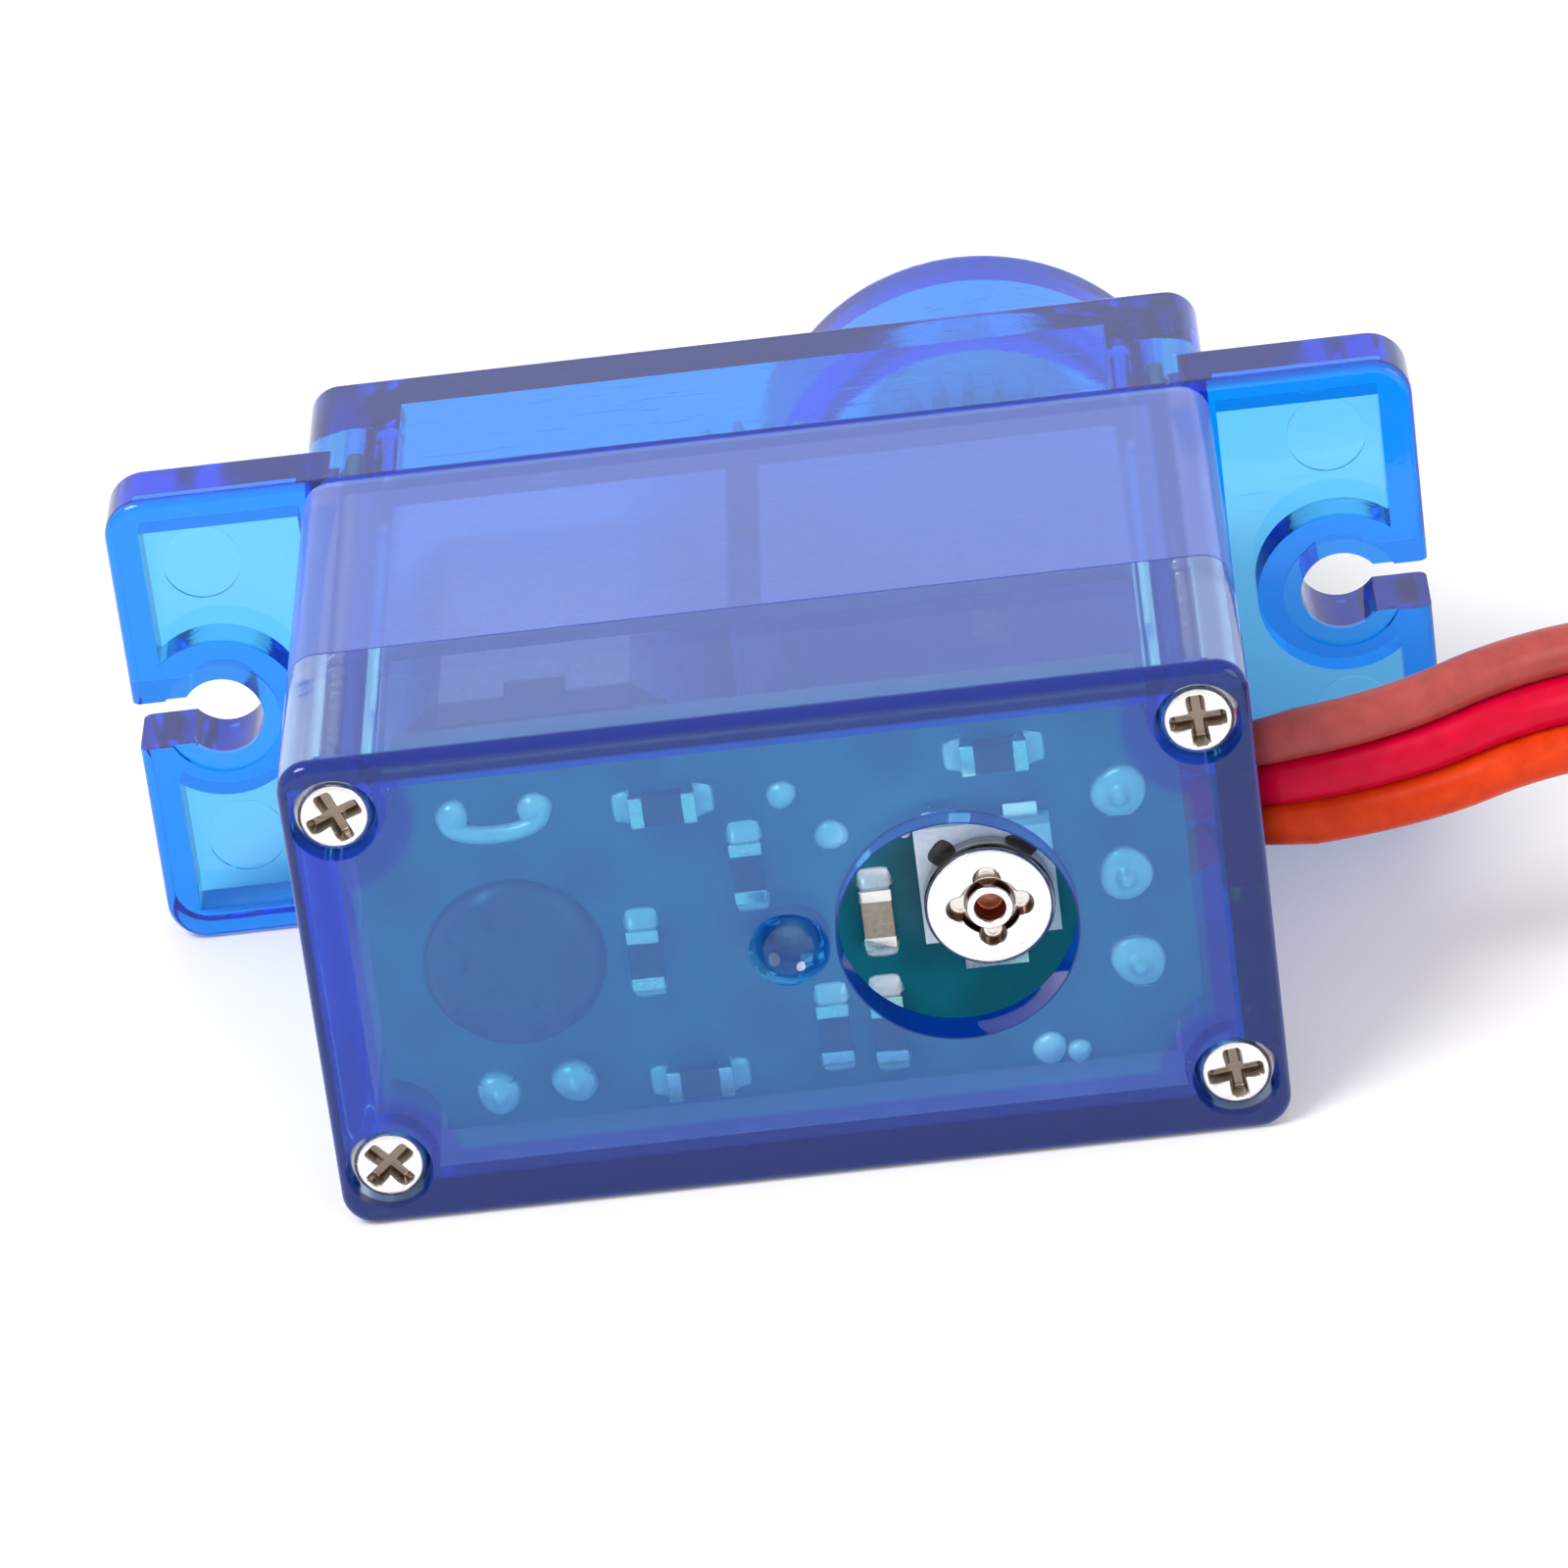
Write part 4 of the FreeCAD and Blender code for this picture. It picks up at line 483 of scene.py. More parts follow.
# The lead's middle line from the case to its turns, then the turns and the tail to the plug, in
# millimetres and degrees.
LEAD_ROUTE = [
    (11.4, -9.1, 6.2), (14.6, -9.1, 6.3), (18.6, -8.5, 7.4), (23.6, -6.3, 6.2),
    (29.2, -3.6, 5.0), (35.0, -1.4, 3.3), (40.6, 0.2, 2.2), (46.2, 1.2, 1.88),
]
COIL_CENTRE = (51.0, -16.8)
COIL_LEVEL = 1.88
COIL_OUTER = 18.7
COIL_INNER = 17.1
COIL_START = 104.9
COIL_END = 28.0 - 360.0
COIL_POINTS = 24
TAIL_RADIUS = 10.0
TAIL_ANGLE = 150.0
TAIL_POINTS = 9
WIRE_RADIUS = 0.61
WIRE_PITCH = 1.18
WIRE_SIDES = 24
# The wires' lean in degrees, and the stretches of the lead over which it comes and goes again.
LEAN = 27
LEAN_IN = (0, 10.7)
LEAN_OUT = (26, 42)
# The wires' share of their size where the case squeezes them, and how far that goes on.
SQUEEZED = 0.9
SQUEEZE_END = 1.2


def lead_points():
    """The route's points in metres: the free run, a spiral that closes in, and the tail's arc."""
    points = [list(point) for point in LEAD_ROUTE]
    for share in np.linspace(0, 1, COIL_POINTS + 1)[1:]:
        angle = math.radians(COIL_START + (COIL_END - COIL_START) * share)
        radius = COIL_OUTER + (COIL_INNER - COIL_OUTER) * share
        points.append([COIL_CENTRE[0] + radius * math.cos(angle),
                       COIL_CENTRE[1] + radius * math.sin(angle), COIL_LEVEL])
    end = math.radians(COIL_END)
    middle = (COIL_CENTRE[0] + (COIL_INNER - TAIL_RADIUS) * math.cos(end),
              COIL_CENTRE[1] + (COIL_INNER - TAIL_RADIUS) * math.sin(end))
    for share in np.linspace(0, 1, TAIL_POINTS)[1:]:
        angle = math.radians(COIL_END - TAIL_ANGLE * share)
        points.append([middle[0] + TAIL_RADIUS * math.cos(angle),
                       middle[1] + TAIL_RADIUS * math.sin(angle), COIL_LEVEL])
    return np.array(points) * MM


def smooth_line(points):
    """The points of a NURBS spline of order 3 through the route, as Blender divides it."""
    curve = bpy.data.curves.new("lead_line", "CURVE")
    curve.dimensions = "3D"
    curve.resolution_u = 10
    spline = curve.splines.new("NURBS")
    spline.points.add(len(points) - 1)
    for place, point in zip(spline.points, points):
        place.co = (*point, 1)
    spline.order_u = 3
    spline.use_endpoint_u = True
    holder = bpy.data.objects.new("lead_line", curve)
    mesh = bpy.data.meshes.new_from_object(holder)
    line = np.array([vertex.co for vertex in mesh.vertices])
    bpy.data.meshes.remove(mesh)
    bpy.data.objects.remove(holder)
    bpy.data.curves.remove(curve)
    return line


def make_lead(insulations):
    """Three bonded wires, brown above red above orange, that lean back a little as they leave.

    The lean grows from none at the case to 27 degrees and is gone again before the first turn;
    the wires are squeezed a little where they leave the case.
    """
    line = smooth_line(lead_points())
    ahead, side, up = frames_along(line)
    run = np.concatenate([[0], np.cumsum(np.linalg.norm(np.diff(line, axis=0), axis=1))]) / MM
    lean = math.radians(LEAN) * smooth_step(run, *LEAN_IN) * (1 - smooth_step(run, *LEAN_OUT))
    stack = np.cos(lean)[:, None] * up + np.sin(lean)[:, None] * side
    across = np.cross(stack, ahead)
    squeeze = SQUEEZED + (1 - SQUEEZED) * smooth_step(run, 0, SQUEEZE_END)
    surface = Surface()
    for number, place in enumerate((1, 0, -1)):
        middle = line + (place * WIRE_PITCH * MM * squeeze)[:, None] * stack
        wire = closed_tube(middle, across, stack, WIRE_RADIUS * MM * squeeze, WIRE_SIDES)
        surface.add(wire, number)
    piece = surface.build("flat_lead", insulations, replaces=("lead", "lead_coil"))


# ---------------------------------------------------------------- material tools


def add_node(tree, kind, inputs, **settings):
    """A shader node with its settings made and its inputs linked or, for plain values, set."""
    node = tree.nodes.new("ShaderNode" + kind)
    for key, value in settings.items():
        setattr(node, key, value)
    for key, value in inputs.items():
        if isinstance(value, bpy.types.NodeSocket):
            tree.links.new(value, node.inputs[key])
        else:
            node.inputs[key].default_value = value
    return node


def place_in_mm(tree):
    """The point's place in the object's frame, in millimetres."""
    place = add_node(tree, "TexCoord", {})
    return add_node(tree, "VectorMath", {0: place.outputs["Object"], "Scale": 1 / MM},
                    operation="SCALE").outputs["Vector"]


def make_grain_group():
    """Fine grain and rare scratches of moulded or handled surfaces.

    Value is even noise from 0 to 1, Height takes long thin scratches out of it.
    """
    group = bpy.data.node_groups.new("surface_grain", "ShaderNodeTree")
    for label, default in (("Grain Scale", 6.0), ("Scratch Scale", 0.8)):
        socket = group.interface.new_socket(label, in_out="INPUT", socket_type="NodeSocketFloat")
        socket.default_value = default
    for label in ("Value", "Height"):
        group.interface.new_socket(label, in_out="OUTPUT", socket_type="NodeSocketFloat")
    given = group.nodes.new("NodeGroupInput").outputs
    result = group.nodes.new("NodeGroupOutput").inputs
    place = place_in_mm(group)
    grain = add_node(group, "TexNoise", {"Vector": place, "Scale": given["Grain Scale"],
                                         "Detail": 4.0, "Roughness": 0.6})
    stretched = add_node(group, "Mapping", {"Vector": place, "Rotation": (0.5, 0.9, 0.7),
                                            "Scale": (1, 14, 14)})
    streaks = add_node(group, "TexNoise", {"Vector": stretched.outputs["Vector"],
                                           "Scale": given["Scratch Scale"], "Detail": 2.0})
    scratches = add_node(group, "MapRange", {"Value": streaks.outputs["Fac"],
                                             "From Min": 0.66, "From Max": 0.74})
    height = add_node(group, "Math", {0: scratches.outputs["Result"], 1: -0.6,
                                      2: grain.outputs["Fac"]}, operation="MULTIPLY_ADD")
    group.links.new(grain.outputs["Fac"], result["Value"])
    group.links.new(height.outputs["Value"], result["Height"])
    return group


GRAIN = make_grain_group()


class Finish:
    """One Principled material, with plain numbers on its own sockets."""

    def __init__(self, name, colour, roughness, **values):
        self.material = bpy.data.materials.new(name)
        self.material.use_nodes = True
        self.tree = self.material.node_tree
        self.shader = self.tree.nodes["Principled BSDF"]
        self.shader.inputs["Base Color"].default_value = (*colour, 1)
        self.shader.inputs["Roughness"].default_value = roughness
        for key, value in values.items():
            label = " ".join(word.capitalize() if word != "ior" else "IOR"
                             for word in key.split("_"))
            self.shader.inputs[label].default_value = value
        self.parts = None

    def link(self, output, label):
        self.tree.links.new(output, self.shader.inputs[label])

    def add(self, kind, inputs, **settings):
        return add_node(self.tree, kind, inputs, **settings)

    def spot(self):
        """The point's place in the object's frame, in millimetres, as X, Y and Z."""
        if self.parts is None:
            self.parts = self.add("SeparateXYZ", {0: place_in_mm(self.tree)})
        return self.parts.outputs

    def from_axis(self, x, z):
        """Distance in millimetres from a line along Y through x and z."""
        spot = self.spot()
        flat = self.add("CombineXYZ", {"X": spot["X"], "Z": spot["Z"]})
        return self.add("VectorMath", {0: flat.outputs["Vector"], 1: (x, 0, z)},
                        operation="DISTANCE").outputs["Value"]

    def step(self, value, start, end):
        """Nothing up to start and one from end on; end may lie below start."""
        return self.add("MapRange", {"Value": value, "From Min": start,
                                     "From Max": end}).outputs["Result"]

    def spread(self, value, low, high):
        """A value from 0 to 1 spread over low to high."""
        return self.add("MapRange", {"Value": value, "To Min": low, "To Max": high}).outputs["Result"]

    def over(self, below, above, mask):
        """A colour laid over another one where the mask is one."""
        below, above = ((*colour, 1) if isinstance(colour, tuple) else colour
                        for colour in (below, above))
        return self.add("Mix", {0: mask, 6: below, 7: above}, data_type="RGBA").outputs[2]

    def tones(self, value, low, high, start=0.35, end=0.65):
        """A colour between two tones, by a value from start to end."""
        node = self.add("ValToRGB", {"Fac": value})
        for stop, place, tone in zip(node.color_ramp.elements, (start, end), (low, high)):
            stop.position = place
            stop.color = (*tone, 1)
        return node.outputs["Color"]

    def bump(self, height, distance, strength=1.0):
        """Lets a height from 0 to 1 stand up by a distance in metres."""
        node = self.add("Bump", {"Height": height, "Distance": distance, "Strength": strength})
        self.link(node.outputs["Normal"], "Normal")

    def add_grain(self, roughness, depth, scale, scratch=0.8):
        """Lets roughness wander between two values, with grain of a depth in millimetres."""
        grain = self.add("Group", {"Grain Scale": scale, "Scratch Scale": scratch},
                         node_tree=GRAIN).outputs
        self.link(self.spread(grain["Value"], *roughness), "Roughness")
        self.bump(grain["Height"], depth * MM)
        return grain["Value"]


ROUGHNESS_SPREAD = 0.08


def grained(name, low, high, roughness, scale=6.0, depth=0.004, **values):
    """An opaque finish whose colour wanders between two tones, with fine grain in its surface."""
    middle = [(a + b) / 2 for a, b in zip(low, high)]
    finish = Finish(name, middle, roughness, **values)
    value = finish.add_grain((roughness - ROUGHNESS_SPREAD, roughness + ROUGHNESS_SPREAD), depth,
                             scale)
    finish.link(finish.tones(value, low, high), "Base Color")
    return finish.material


def metal(name, colour, roughness, scale=9.0, depth=0.003):
    """A bare metal, a tenth darker in places."""
    low = [part * 0.9 for part in colour]
    return grained(name, low, colour, roughness, scale, depth, metallic=1.0)


def clear_plastic(name, tint, clearness, roughness, absorbed, scale, depth, haze, haze_tint,
                  gloss):
    """Dyed clear plastic: light is lost on its way through, less of the blue than of the rest.

    absorbed is what is lost of red, green and blue for each millimetre, as a natural logarithm.
    scale and depth are the grain's. haze is a thin tinted bloom on the surface, and gloss the
    strength of its mirror light.
    """
    finish = Finish(name, tint, roughness, transmission_weight=clearness, ior=1.5,
                    sheen_weight=haze, sheen_roughness=1.0, sheen_tint=(*haze_tint, 1),
                    specular_ior_level=gloss)
    finish.add_grain((roughness * 0.6, roughness * 1.4), depth, scale, 0.5)
    density = max(absorbed) * 1.05 / MM
    volume = finish.add("VolumeAbsorption", {
        "Color": (*[1 - part / MM / density for part in absorbed], 1), "Density": density})
    output = finish.tree.nodes["Material Output"]
    finish.tree.links.new(volume.outputs["Volume"], output.inputs["Volume"])
    return finish


def zoned(finish, ground, face, face_edge, face_zones, rounds):
    """Lays zones of painted light and shade on one outer face of a moulding, and then round the holes
    in it.

    face is the axis, start and end of the step that picks the face, face_edge its colour, and
    each zone an axis, a start, an end and a colour. rounds are x, z, an outer and an inner
    distance, and a colour.
    """
    spot = finish.spot()
    colour = face_edge
    for axis, start, end, tone in face_zones:
        colour = finish.over(colour, tone, finish.step(spot[axis], start, end))
    axis, start, end = face
    colour = finish.over(ground, colour, finish.step(spot[axis], start, end))
    for x, z, outer, inner, tone in rounds:
        colour = finish.over(colour, tone, finish.step(finish.from_axis(x, z), outer, inner))
    return colour


# The step in Z that picks the sides which face up, and the one in Y that picks the cover's front.
UPPER_SIDE = ("Z", 12.25, 12.36)
COVER_FRONT = ("Y", -14.62, -14.72)
# Where painted light and shade lie on the cover's front: painted shade on the rim of its opening and
# on the rim of its dimple, and a painted highlight in the dimple's middle.
OPENING_RIM = (4.0, 6.2, 2.9, 2.88)
DIMPLE_RIM = (0.1, 6.2, 0.93, 0.86)
DIMPLE_MIDDLE = (0.12, 6.3, 0.62, 0.2)
# Distances from a screw between which the painted shade over its post begins.
POST_EDGE = (1.95, 1.75)


def cover_finish():
    """The bottom cover: hazy blue, with painted shade along its border, where one looks into the
    walls' depth, over its posts, round its opening and on its dimple, and painted light and highlights
    on its upper side, an inner edge and the dimple's middle.
    """
    finish = clear_plastic("cover_plastic", INNER_BLUE, clearness=0.97, roughness=0.05,
                           absorbed=(0.20, 0.02, 0.0), scale=3.0, depth=0.002, haze=0.32,
                           haze_tint=(0.0, 0.10, 1.0), gloss=0.2)
    spot = finish.spot()
    # The upper side is painted lighter, with a painted highlight near the front edge and painted grey
    # shade at both ends.
    upper = finish.over(PAINTED_LIGHT_TOP, PAINTED_HIGHLIGHT_CYAN, finish.step(spot["Y"], -14.1, -14.5))
    for start, end in ((10.3, 10.5), (-10.4, -10.6)):
        upper = finish.over(upper, PAINTED_SHADE_GREY, finish.step(spot["X"], start, end))
    axis, start, end = UPPER_SIDE
    colour = finish.over(INNER_BLUE, upper, finish.step(spot[axis], start, end))
    front = FRONT_BLUE
    # Painted darker shade round each screw, over its post.
    for x, z, _ in SCREWS:
        front = finish.over(front, PAINTED_POST_SHADE, finish.step(finish.from_axis(x, z), *POST_EDGE))
    # Painted shade over the gaps beside the board and along the front's border, with a painted
    # highlight line on the right, a dark maroon strip and a dark line along the top.
    zones = [("X", 9.75, 9.85, PAINTED_POST_SHADE), ("X", -9.95, -10.05, PAINTED_POST_SHADE),
             ("Z", 1.95, 1.8, PAINTED_POST_SHADE), ("X", 10.27, 10.31, PAINTED_EDGE_HIGHLIGHT), ("X", 10.38, 10.44, PAINTED_SHADE_DARK),
             ("X", -10.9, -11.0, PAINTED_SHADE_PURPLE), ("X", -11.1, -11.16, PAINTED_SHADE_DARK), ("Z", 1.2, 1.08, PAINTED_SHADE_DARK),
             ("Z", 11.72, 11.82, PAINTED_SHADE_MAROON), ("Z", 12.14, 12.22, PAINTED_SHADE_INK)]
    # Painted shade on the rim of the opening and of the dimple, and a painted highlight in the
    # dimple's middle.
    rounds = [(*OPENING_RIM, PAINTED_SHADE_INK), (*DIMPLE_RIM, PAINTED_DIMPLE_SHADE), (*DIMPLE_MIDDLE, PAINTED_HIGHLIGHT_CYAN)]
    finish.link(zoned(finish, colour, COVER_FRONT, front, zones, rounds), "Base Color")
    return finish.material


def case_finish():
    """The middle case: hazy lavender, with painted light on the side that faces up and, along that
    side's borders, painted grey shade, a painted highlight band and a painted dark line by the top
    case.
    """
    finish = clear_plastic("case_plastic", CASE_BLUE, clearness=0.92, roughness=0.08,
                           absorbed=(0.20, 0.15, 0.0), scale=8.0, depth=0.004, haze=0.62,
                           haze_tint=(0.16, 0.30, 1.0), gloss=0.5)
    # The side that faces up is painted lighter, with painted grey shade along its borders, then a
    # painted highlight band and a painted dark line by the top case.
    zones = [("X", 9.8, 9.95, PAINTED_SHADE_GREY), ("X", -10.1, -10.25, PAINTED_SHADE_GREY), ("Y", -0.1, 0.05, PAINTED_SHADE_GREY),
             ("Y", 0.55, 0.6, PAINTED_HIGHLIGHT_CYAN), ("Y", 0.75, 0.8, PAINTED_SHADE_INK)]
    finish.link(zoned(finish, CASE_BLUE, UPPER_SIDE, PAINTED_LIGHT_CASE_TOP, zones, []), "Base Color")
    return finish.material


def top_finish():
    """The top case: clearer, a deeper blue where the rims of the ears are thick, and painted shade
    along the borders of the side that faces up.
    """
    finish = clear_plastic("top_plastic", TOP_BLUE, clearness=0.98, roughness=0.05,
                           absorbed=(1.7, 0.42, 0.01), scale=3.0, depth=0.004, haze=0.12,
                           haze_tint=(0.0, 0.15, 1.0), gloss=0.08)
    ears = finish.step(finish.spot()["Y"], 1.1, 0.98)
    colour = finish.over(TOP_BLUE, DEEP_BLUE, ears)
    # Painted shade along the borders of the side that faces up.
    zones = [("X", 10.7, 10.9, PAINTED_EDGE_SHADE), ("X", -10.7, -10.9, PAINTED_EDGE_SHADE), ("Y", 6.5, 6.7, PAINTED_EDGE_SHADE)]
    finish.link(zoned(finish, colour, UPPER_SIDE, TOP_BLUE, zones, []), "Base Color")
    return finish.material


def trimmer_disc_finish():
    """Bright plated brass, with brown tarnish on the walls of its recess and in the eyelet."""
    finish = Finish("trimmer_plating", PLATING, 0.2, metallic=1.0)
    depth = finish.spot()["Y"]
    walls = finish.step(depth, DISC_FACE + 0.02, DISC_FACE + 0.10)
    floor = finish.step(depth, DISC_FACE + 0.27, DISC_FACE + DISC_RECESS)
    eyelet = finish.step(finish.from_axis(*TRIMMER_SPOT), 0.40, 0.36)
    colour = PLATING
    for tone, mask in ((TARNISH, walls), (WORN_PLATING, floor), (EYELET_BROWN, eyelet)):
        colour = finish.over(colour, tone, mask)
    finish.link(colour, "Base Color")
    finish.add_grain((0.12, 0.3), 0.004, 7.0, 1.2)
    return finish.material


def screw_finish():
    """Bright plated steel, with painted shade darkening the cross recess."""
    finish = Finish("screw_steel", PLATING, 0.2, metallic=1.0)
    top = SCREW_FOOT - HEAD_HEIGHT
    # Painted shade, darker deeper in the cross recess.
    down = finish.step(finish.spot()["Y"], top + 0.1, top + 0.34)
    finish.link(finish.over(BRIGHT_STEEL, PAINTED_RECESS_SHADE, down), "Base Color")
    finish.add_grain((0.14, 0.34), 0.006, 6.0, 1.5)
    return finish.material


def board_finish():
    """Green solder resist in soft patches of two tones, slightly raised where copper lies under it."""
    finish = Finish("board_resist", RESIST_LOW, 0.35, coat_weight=0.05, coat_roughness=0.15,
                    specular_ior_level=0.2)
    place = finish.add("TexCoord", {})
    cells = finish.add("TexVoronoi", {"Vector": place.outputs["Object"], "Scale": 0.55 / MM,
                                      "Randomness": 0.85}, feature="F1")
    copper = finish.step(cells.outputs["Distance"], 0.25, 0.60)
    finish.link(finish.tones(copper, RESIST_LOW, RESIST_HIGH, 0.0, 1.0), "Base Color")
    finish.bump(copper, 0.03 * MM, 0.6)
    return finish.material


# Tones of the blue plastic, from its thin clear parts to painted highlights and to painted shade where
# one looks into a wall's depth, and then of the plating and the board.
INNER_BLUE = (0.95, 0.98, 1.0)
FRONT_BLUE = (0.30, 0.95, 1.0)
# Painted shade over the screw posts and the gaps beside the board.
PAINTED_POST_SHADE = (0.35, 0.40, 1.0)
# Painted light on the cover's upper side.
PAINTED_LIGHT_TOP = (0.98, 0.98, 1.0)
# Painted highlights: near the cover's front edge, in the middle of its dimple and in a band on the
# middle case.
PAINTED_HIGHLIGHT_CYAN = (0.72, 1.0, 1.0)
TOP_BLUE = (0.80, 0.95, 1.0)
# Painted shade along the top case's upper borders.
PAINTED_EDGE_SHADE = (0.20, 0.38, 1.0)
# Painted light on the middle case's upper side.
PAINTED_LIGHT_CASE_TOP = (0.90, 0.96, 1.0)
CASE_BLUE = (0.72, 0.80, 1.0)
# Painted highlight line along the inner edge of the cover's right border strip.
PAINTED_EDGE_HIGHLIGHT = (0.02, 0.45, 1.0)
DEEP_BLUE = (0.0, 0.50, 1.0)
# Painted shade on the dimple's rim.
PAINTED_DIMPLE_SHADE = (0.02, 0.30, 0.50)
# Painted shade: a dark line along edges and round the opening.
PAINTED_SHADE_INK = (0.0, 0.01, 0.16)
# Painted shade along the cover's left border.
PAINTED_SHADE_PURPLE = (0.25, 0.28, 0.70)
# Painted dark shade along the cover's border.
PAINTED_SHADE_DARK = (0.08, 0.03, 0.0)
# Painted dark maroon shade below the cover's top edge.
PAINTED_SHADE_MAROON = (0.12, 0.08, 0.04)
# Painted grey shade along the borders of upper sides and at the cover's ends.
PAINTED_SHADE_GREY = (0.42, 0.33, 0.34)
PLATING = (0.84, 0.81, 0.80)
WORN_PLATING = (0.80, 0.73, 0.68)
TARNISH = (0.16, 0.09, 0.06)
EYELET_BROWN = (0.33, 0.13, 0.08)
BRIGHT_STEEL = (0.88, 0.86, 0.83)
# Painted shade in the screws' cross recesses.
PAINTED_RECESS_SHADE = (0.25, 0.20, 0.16)
RESIST_LOW = (0.0, 0.11, 0.15)
RESIST_HIGH = (0.0, 0.17, 0.23)

FINISHES = {
    "cover_plastic": cover_finish(),
    "case_plastic": case_finish(),
    "top_plastic": top_finish(),
    "screw_steel": screw_finish(),
    "board_green": board_finish(),
    "chip_black": grained("chip_black", (0.015, 0.015, 0.018), (0.04, 0.04, 0.045), 0.4),
    "chip_tan": grained("chip_tan", (0.42, 0.33, 0.24), (0.55, 0.45, 0.34), 0.45),
    "potting_black": grained("potting_black", (0.012, 0.014, 0.02), (0.03, 0.032, 0.045), 0.3,
                             scale=2.5),
    "solder": grained("solder", (0.88, 0.88, 0.92), (0.96, 0.96, 1.0), 0.3, scale=4.0,
                      depth=0.008, metallic=0.15),
    "trimmer_ceramic": grained("trimmer_ceramic", (0.70, 0.81, 0.95), (0.84, 0.90, 0.97), 0.3),
    "tinned_metal": metal("tinned_metal", (0.80, 0.79, 0.76), 0.25),
    "trimmer_metal": metal("trimmer_metal", (0.93, 0.93, 0.92), 0.22),
    "can_steel": metal("can_steel", (0.62, 0.62, 0.63), 0.3, scale=5.0),
    "bush_bronze": metal("bush_bronze", (0.60, 0.38, 0.18), 0.35),
    "end_cap_plastic": grained("end_cap_plastic", (0.03, 0.03, 0.033), (0.05, 0.05, 0.055), 0.4),
    "brush_metal": metal("brush_metal", (0.75, 0.48, 0.26), 0.3),
    "ferrite": grained("ferrite", (0.05, 0.05, 0.055), (0.09, 0.09, 0.095), 0.6),
    "shaft_steel": metal("shaft_steel", (0.72, 0.72, 0.73), 0.15),
    "core_steel": metal("core_steel", (0.36, 0.36, 0.38), 0.4),
    "winding_copper": metal("winding_copper", (0.72, 0.30, 0.12), 0.3, scale=5.0, depth=0.02),
    "commutator_copper": metal("commutator_copper", (0.80, 0.42, 0.22), 0.22),
    "pinion_brass": metal("pinion_brass", (0.80, 0.58, 0.25), 0.25),
    "gear_nylon": grained("gear_nylon", (0.80, 0.84, 0.90), (0.88, 0.91, 0.95), 0.38,
                          subsurface_weight=0.15, subsurface_scale=0.0008),
    "wire_brown": grained("wire_brown", (0.36, 0.055, 0.048), (0.44, 0.07, 0.06), 0.32,
                          scale=2.0, specular_ior_level=0.3),
    "wire_red": grained("wire_red", (0.57, 0.0, 0.025), (0.66, 0.0, 0.035), 0.3, scale=2.0,
                        specular_ior_level=0.15),
    "wire_orange": grained("wire_orange", (0.62, 0.038, 0.003), (0.72, 0.05, 0.006), 0.3,
                           scale=2.0, specular_ior_level=0.15),
    "tie_black": grained("tie_black", (0.015, 0.015, 0.016), (0.03, 0.03, 0.032), 0.45),
    "plug_black": grained("plug_black", (0.015, 0.015, 0.016), (0.03, 0.03, 0.032), 0.4),
}


def dress_nodes():
    """Gives each CAD node the finish of its slot in the record."""
    for part in frame["record"]["subparts"]:
        mesh = NODES[part["node"]].data
        mesh.materials.clear()
        mesh.materials.append(FINISHES[part["material_slot"]])


# ---------------------------------------------------------------- studio


def seen_or_lit(tree, lit, seen):
    """lit for light that falls on things, seen for what the eye meets, also in gloss and glass."""
    path = add_node(tree, "LightPath", {}).outputs
    total = path["Is Camera Ray"]
    for label in ("Is Glossy Ray", "Is Transmission Ray"):
        total = add_node(tree, "Math", {0: total, 1: path[label]},
                         operation="MAXIMUM").outputs["Value"]
    return add_node(tree, "MapRange", {"Value": total, "To Min": lit,
                                       "To Max": seen}).outputs["Result"]


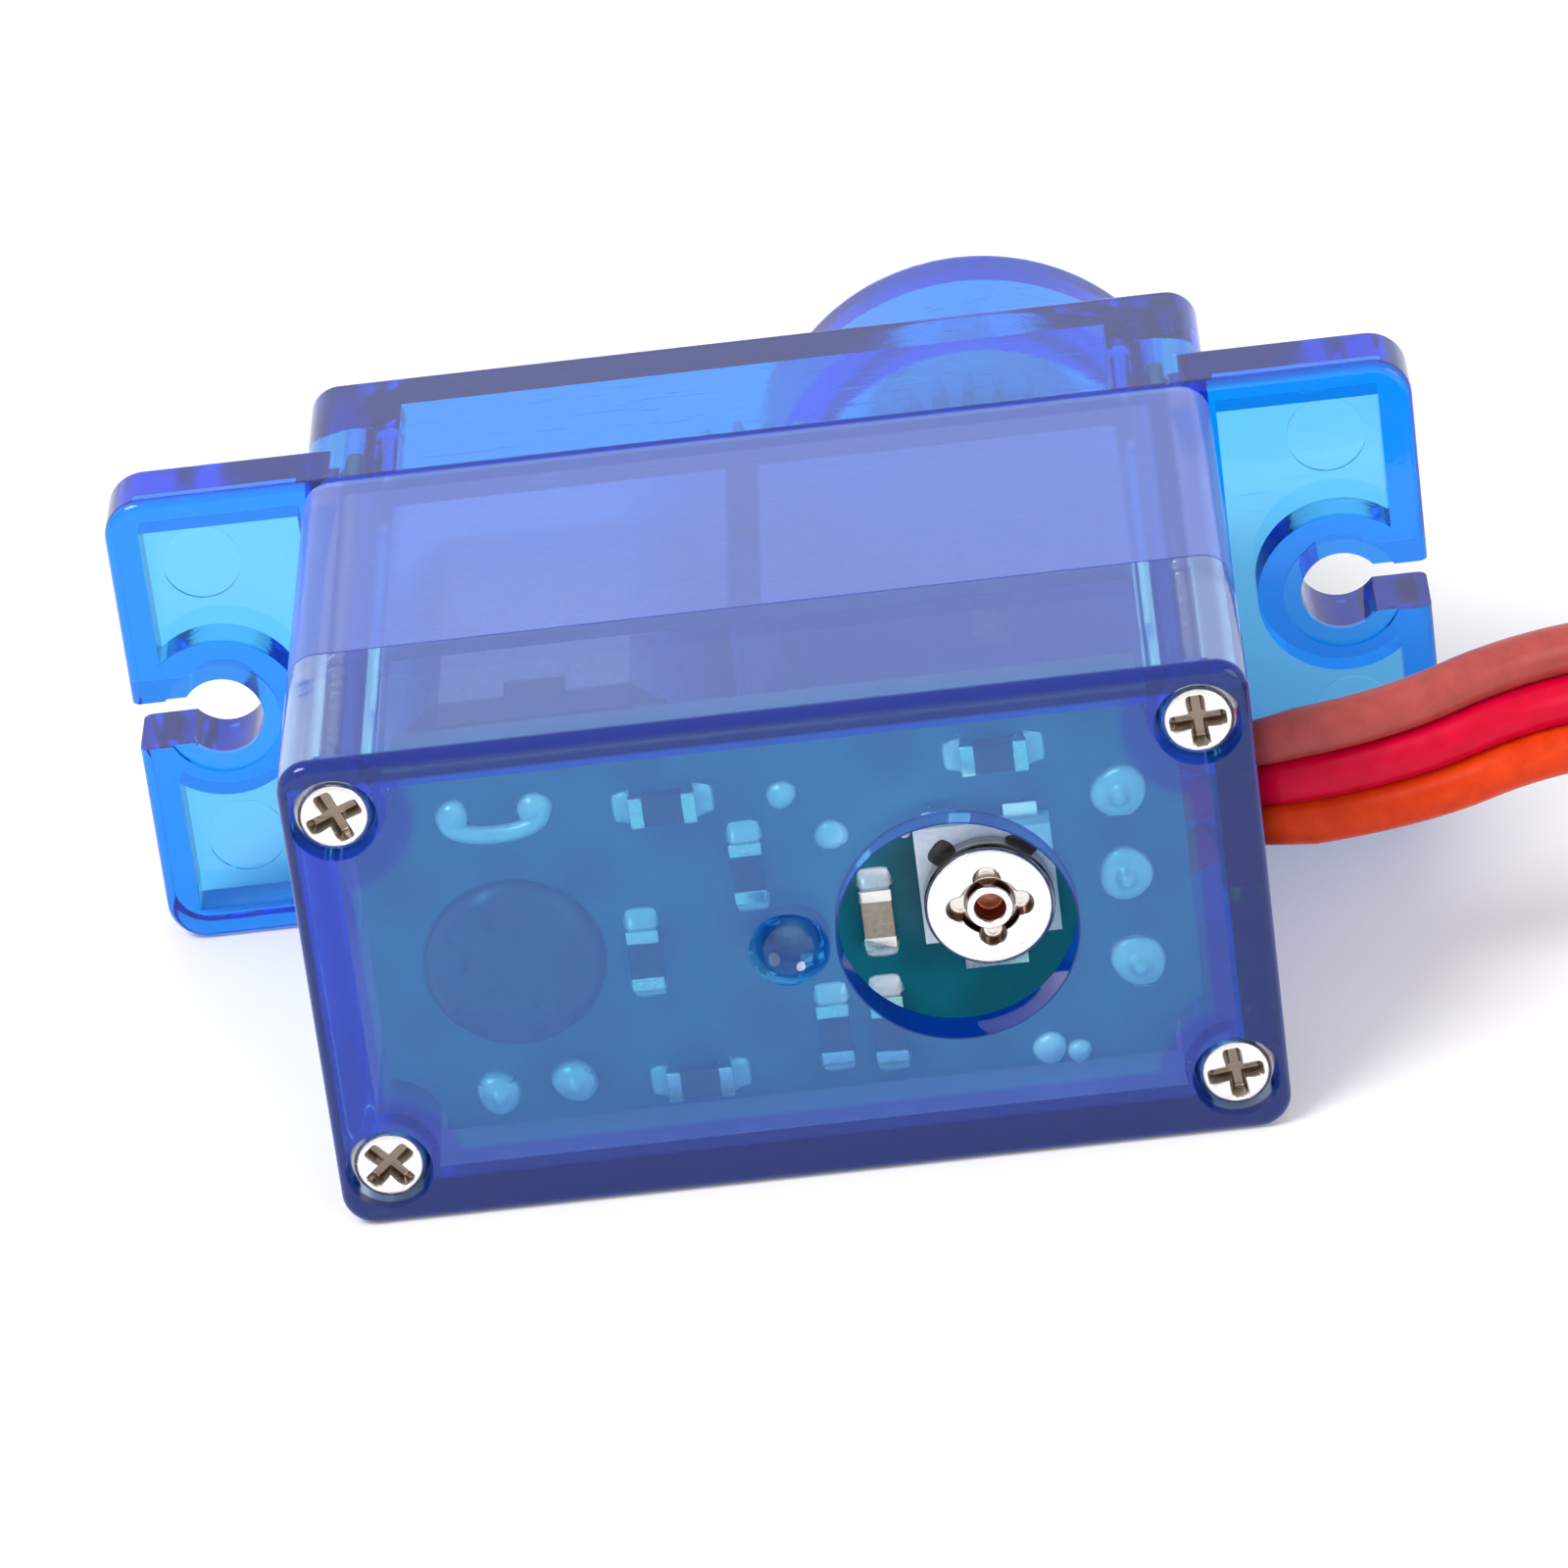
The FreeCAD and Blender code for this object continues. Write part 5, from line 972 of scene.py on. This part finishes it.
def make_world():
    """Even white light from all round, a little weaker than it looks."""
    world = bpy.data.worlds.new("studio")
    bpy.context.scene.world = world
    world.use_nodes = True
    background = world.node_tree.nodes["Background"]
    background.inputs["Color"].default_value = (1, 1, 1, 1)
    strength = seen_or_lit(world.node_tree, 0.75, 1.0)
    world.node_tree.links.new(strength, background.inputs["Strength"])


# In metres; the floor lies just under the servo, so that the two never share a face.
FLOOR_SIDES = 96
FLOOR_RADII = (0.0, 0.4, 1.5)
FLOOR_LEVEL = -0.00002
# What both lamps point at.
LAMP_AIM = (0, 0, 0.006)


def make_floor():
    """A round pale floor, a little brighter to the camera so that it reads as white."""
    around = round_angles(FLOOR_SIDES)[..., None]
    radius = np.array(FLOOR_RADII)[:, None, None]
    grid = np.concatenate([radius * np.cos(around), radius * np.sin(around),
                           0 * radius * around + FLOOR_LEVEL], axis=2)
    mesh = bpy.data.meshes.new("floor")
    mesh.from_pydata(grid.reshape(-1, 3).tolist(), [],
                     grid_faces(len(FLOOR_RADII), FLOOR_SIDES).tolist())
    clean_mesh(mesh)
    finish = Finish("floor_paper", (0.9, 0.9, 0.9), 0.7, emission_color=(1, 1, 1, 1))
    finish.link(seen_or_lit(finish.tree, 0.0, 0.10), "Emission Strength")
    mesh.materials.append(finish.material)
    put_in_scene("floor", mesh)


def make_lamp(name, place, size, power):
    """A round lamp that shines at the servo."""
    data = bpy.data.lights.new(name, "AREA")
    data.shape = "DISK"
    data.size = size
    data.energy = power
    back = np.array(place) - LAMP_AIM
    side = np.cross([0.0, 0.0, 1.0], back)
    side /= np.linalg.norm(side)
    back /= np.linalg.norm(back)
    set_axes(put_in_scene(name, data), side, np.cross(back, side), back, place)


dress_nodes()
make_chips("chip_resistors_soldered", CHIPS, "chip_resistors", "chip_black")
make_chips("chip_capacitor_soldered", CAPACITORS, "chip_capacitors", "chip_tan")
make_solder()
make_screws()
make_trimmer_disc()
make_resistor_film()
make_lead([FINISHES["wire_brown"], FINISHES["wire_red"], FINISHES["wire_orange"]])
make_world()
make_floor()
make_lamp("key_lamp", (-0.25, -0.25, 0.45), 0.25, 2.0)
make_lamp("fill_lamp", (0.35, -0.30, 0.20), 0.30, 0.5)
bpy.context.scene.view_settings.view_transform = "Standard"
